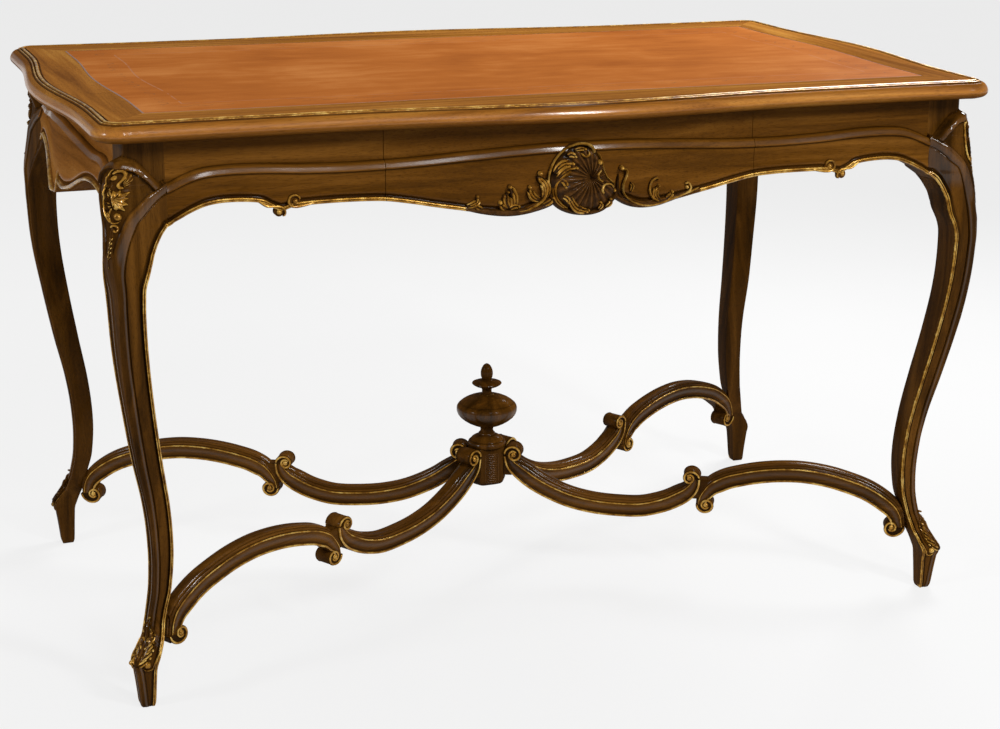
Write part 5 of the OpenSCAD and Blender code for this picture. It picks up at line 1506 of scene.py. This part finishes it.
def drawer_leaves():
    """The scrolls and acanthus on the drawer's lower edge, either side of the shell."""
    pile = Pile(front_surface)
    # left: a swelling dark edge with leaves rising from it
    strand(pile, [[-36, 634], [-50, 628.5], [-65, 625], [-81, 622.5], [-98, 621.5], [-115, 622.5],
        [-132, 625], [-150, 629], [-168, 633.5]], [[0, 6], [0.4, 9], [0.8, 7], [1, 3]], (6, 6, 2), 0, 1.8,
        gold=0.08, base=-6, ends=0.05, shade=0.75)
    strand(pile, [[-90, 623], [-75, 624.5], [-63, 630], [-54, 637], [-49.5, 646], [-49, 655], [-53, 661]],
        (2.4, 3.6, 3), [[0, 6], [0.6, 8.5], [1, 8]], 0, 1.2, ends=0.06)
    plume(pile, [[-53, 637], [-50, 648], [-53, 658], [-59, 664], [-58, 671]], 11, 6, 1.5, 4, 1.3)
    plume(pile, [[-57, 636], [-66, 640], [-71, 647], [-72, 654]], 8, 6, 1.5, 3, 1.2)
    plume(pile, [[-56, 629], [-47, 633], [-41, 639]], 5, 5, 2.5, 2)
    plume(pile, [[-94, 626], [-92.5, 637], [-95, 648], [-98, 655.5]], 9, 6, 1.5, 3, 1.2, lead=0)
    plume(pile, [[-98, 627], [-102.5, 635], [-103, 643], [-100.5, 649]], 5.5, 5.5, 1.5, 2)
    plume(pile, [[-99, 626.5], [-93, 630], [-86.5, 630]], 4.5, 5.5, 2, 2)
    boss(pile, -110, 635.5, 3.0, 6.5)
    plume(pile, [[-102, 626], [-107, 629.5], [-110, 634]], 5, 5, 1, 2, 0)
    plume(pile, [[-154, 632.5], [-146, 634.5], [-140.5, 638.5], [-140, 645]], 7, 5, 0.8, 3, 1.2)
    plume(pile, [[-132, 627.5], [-138, 630], [-143, 633.5]], 4.5, 4.5, 0.8, 2)
    # right: a scroll that opens outwards, then leaves along the edge
    strand(pile, [[41, 638], [50, 632.5], [62, 626], [76, 621.5], [92, 620], [109, 620.8], [128, 624.5],
        [148, 629.5], [170, 635.5]], [[0, 5], [0.35, 8], [0.8, 6], [1, 3]], [[0, 6], [0.4, 5], [1, 2]], 0,
        1.8, gold=0.08, base=-6, ends=0.05, shade=0.75)
    strand(pile, [[56, 670], [61.5, 668.5], [61.5, 661], [57.5, 652], [57, 640.5], [64, 631], [77, 623],
        [94, 619], [112, 620.5], [134, 625.5], [156, 631.5], [172, 636.5]], [[0, 3.4], [0.25, 3],
        [0.6, 3.4], [1, 2.6]], [[0, 8], [0.3, 7.5], [1, 4.5]], 0, 1.3, ends=0.03)
    strand(pile, [[51, 664], [49.5, 652], [50.5, 641], [57, 630]], (3, 5, 4), 4.5, 0, 1.2, gold=0.0,
        ends=0.12, shade=0.4)
    boss(pile, 54.5, 671.5, 3.4, 9.5)
    plume(pile, [[68, 638], [70.5, 645], [68.5, 652]], 3.6, 5, 0.6, 2, 0)
    strand(pile, [[112, 623], [101, 629], [96.5, 639], [99, 650], [106.5, 654.5], [110, 651]],
        (3, 3.6, 2.6), 5.5, 0.5, 1.0, ends=0.06)
    plume(pile, [[113, 624], [105.5, 630], [105, 639], [109.5, 644]], 7, 5.5, 1, 3)
    plume(pile, [[121, 625], [127, 629], [130, 634.5]], 5.5, 5, 0.8, 2, 1.3)
    strand(pile, [[150, 630], [156, 632.5], [158.5, 638.5], [154.5, 644.5], [149.5, 643]], 3.2, 5, 0.5, 0.9,
        ends=0.06)
    boss(pile, 153, 638.5, 2.6, 5.5)
    pile.make("drawer_leaf_carving", "gilt", (), "drawer", angle=50)


shell()
drawer_leaves()


# Inner pieces keep their solids and get their own wood

for material, nodes in {
        "oak_x": ["top_panel", "drawer_top_rail", "drawer_low_rail", "back_top_rail", "corner_blocks",
                  "drawer_back", "drawer_bottom", "stretcher_dowels"],
        "oak_y": ["drawer_runner_left", "drawer_runner_right", "drawer_kicker_left",
                  "drawer_kicker_right", "drawer_side_left", "drawer_side_right"],
        "plain": ["centre_cross_rail"],
        "brass": ["top_screws"]}.items():
    for node in nodes:
        mesh = frame["nodes"][node].data
        mesh.materials.clear()
        mesh.materials.append(M[material])


# Floor, light and camera

# The background's grey, the share of the floor's brightness that is paint, its glow and its half side,
# and the light from all round
PALE = 0.875
FLOOR_SHARE = 0.13
FLOOR_GLOW = 0.785
FLOOR_HALF = 30
AMBIENT = 0.3


def floor():
    """A pale floor: the camera sees most of its brightness as colour, so the shadow stays soft."""
    g = Graph("pale_floor")
    seen = g.node("LightPath").outputs
    direct = g.maths("MAXIMUM", seen["Is Camera Ray"], seen["Is Glossy Ray"])
    direct = g.maths("MAXIMUM", direct, seen["Is Transmission Ray"])
    paint = g.span(direct, 0.0, 1.0, 0.5, FLOOR_SHARE)
    grain = g.span(g.noise(g.place(), 3.0, 2.0), 0.3, 0.7, 0.97, 1.0)
    diffuse = g.node("BsdfDiffuse", {"Color": g.grey(g.times(paint, grain))})
    glow = g.node("Emission", {"Color": (1, 1, 1, 1), "Strength": g.times(direct, FLOOR_GLOW)})
    both = g.node("AddShader", {0: diffuse.outputs[0], 1: glow.outputs[0]})
    g.join(both.outputs[0], g.tree.nodes["Material Output"].inputs[0])
    mesh = bpy.data.meshes.new("floor")
    half = FLOOR_HALF
    mesh.from_pydata([(-half, -half, 0), (half, -half, 0), (half, half, 0), (-half, half, 0)], [],
                     [(0, 1, 2, 3)])
    mesh.materials.append(g.material)
    obj = bpy.data.objects.new("floor", mesh)
    bpy.context.scene.collection.objects.link(obj)


def lamp(name, place, target, size, size_y, power):
    data = bpy.data.lights.new(name, "AREA")
    data.shape = "RECTANGLE"
    data.size = size
    data.size_y = size_y
    data.energy = power
    obj = bpy.data.objects.new(name, data)
    obj.location = place
    way = Vector(target) - Vector(place)
    obj.rotation_euler = way.to_track_quat("-Z", "Y").to_euler()
    bpy.context.scene.collection.objects.link(obj)


def world():
    """Soft light from all round, and a pale grey for what the camera sees."""
    made = bpy.data.worlds.new("studio")
    made.use_nodes = True
    nodes = made.node_tree.nodes
    links = made.node_tree.links
    back = nodes["Background"]
    back.inputs[0].default_value = (1, 1, 1, 1)
    back.inputs[1].default_value = AMBIENT
    seen = nodes.new("ShaderNodeBackground")
    seen.inputs[0].default_value = (PALE, PALE, PALE, 1)
    seen.inputs[1].default_value = 1.0
    path = nodes.new("ShaderNodeLightPath")
    mix = nodes.new("ShaderNodeMixShader")
    links.new(path.outputs["Is Camera Ray"], mix.inputs[0])
    links.new(back.outputs[0], mix.inputs[1])
    links.new(seen.outputs[0], mix.inputs[2])
    links.new(mix.outputs[0], nodes["World Output"].inputs[0])
    bpy.context.scene.world = made


def camera():
    """The photograph's camera, as fitted to it."""
    yaw = math.radians(23.11)
    pitch = math.radians(16.78)
    roll = math.radians(0.95)
    data = bpy.data.cameras.new("camera")
    data.sensor_fit = "HORIZONTAL"
    data.sensor_width = 36
    data.lens = 75.46
    data.shift_x = -0.102
    data.shift_y = 0.025
    data.clip_end = 100
    obj = bpy.data.objects.new("camera", data)
    bpy.context.scene.collection.objects.link(obj)
    f = Vector((math.sin(yaw) * math.cos(pitch), math.cos(yaw) * math.cos(pitch), -math.sin(pitch)))
    r0 = Vector((math.cos(yaw), -math.sin(yaw), 0))
    u0 = r0.cross(f)
    r = math.cos(roll) * r0 + math.sin(roll) * u0
    u = -math.sin(roll) * r0 + math.cos(roll) * u0
    place = Matrix((r, u, -f)).transposed().to_4x4()
    place.translation = Vector((-1.013, -2.810, 1.178))
    obj.matrix_world = place
    bpy.context.scene.camera = obj


floor()
world()
lamp("front", (-0.1, -3.1, 2.9), (0, 0, 0.5), 0.4, 1.3, 26)
lamp("right", (1.3, -3.1, 2.9), (0.1, 0, 0.5), 0.4, 1.3, 80)
lamp("left", (-3.4, -0.8, 2.0), (0, 0, 0.5), 0.5, 0.5, 34)
lamp("back", (1.5, 1.0, 1.8), (0.3, 0, 0.7), 0.8, 0.8, 46)
camera()
bpy.context.scene.view_settings.view_transform = "Standard"
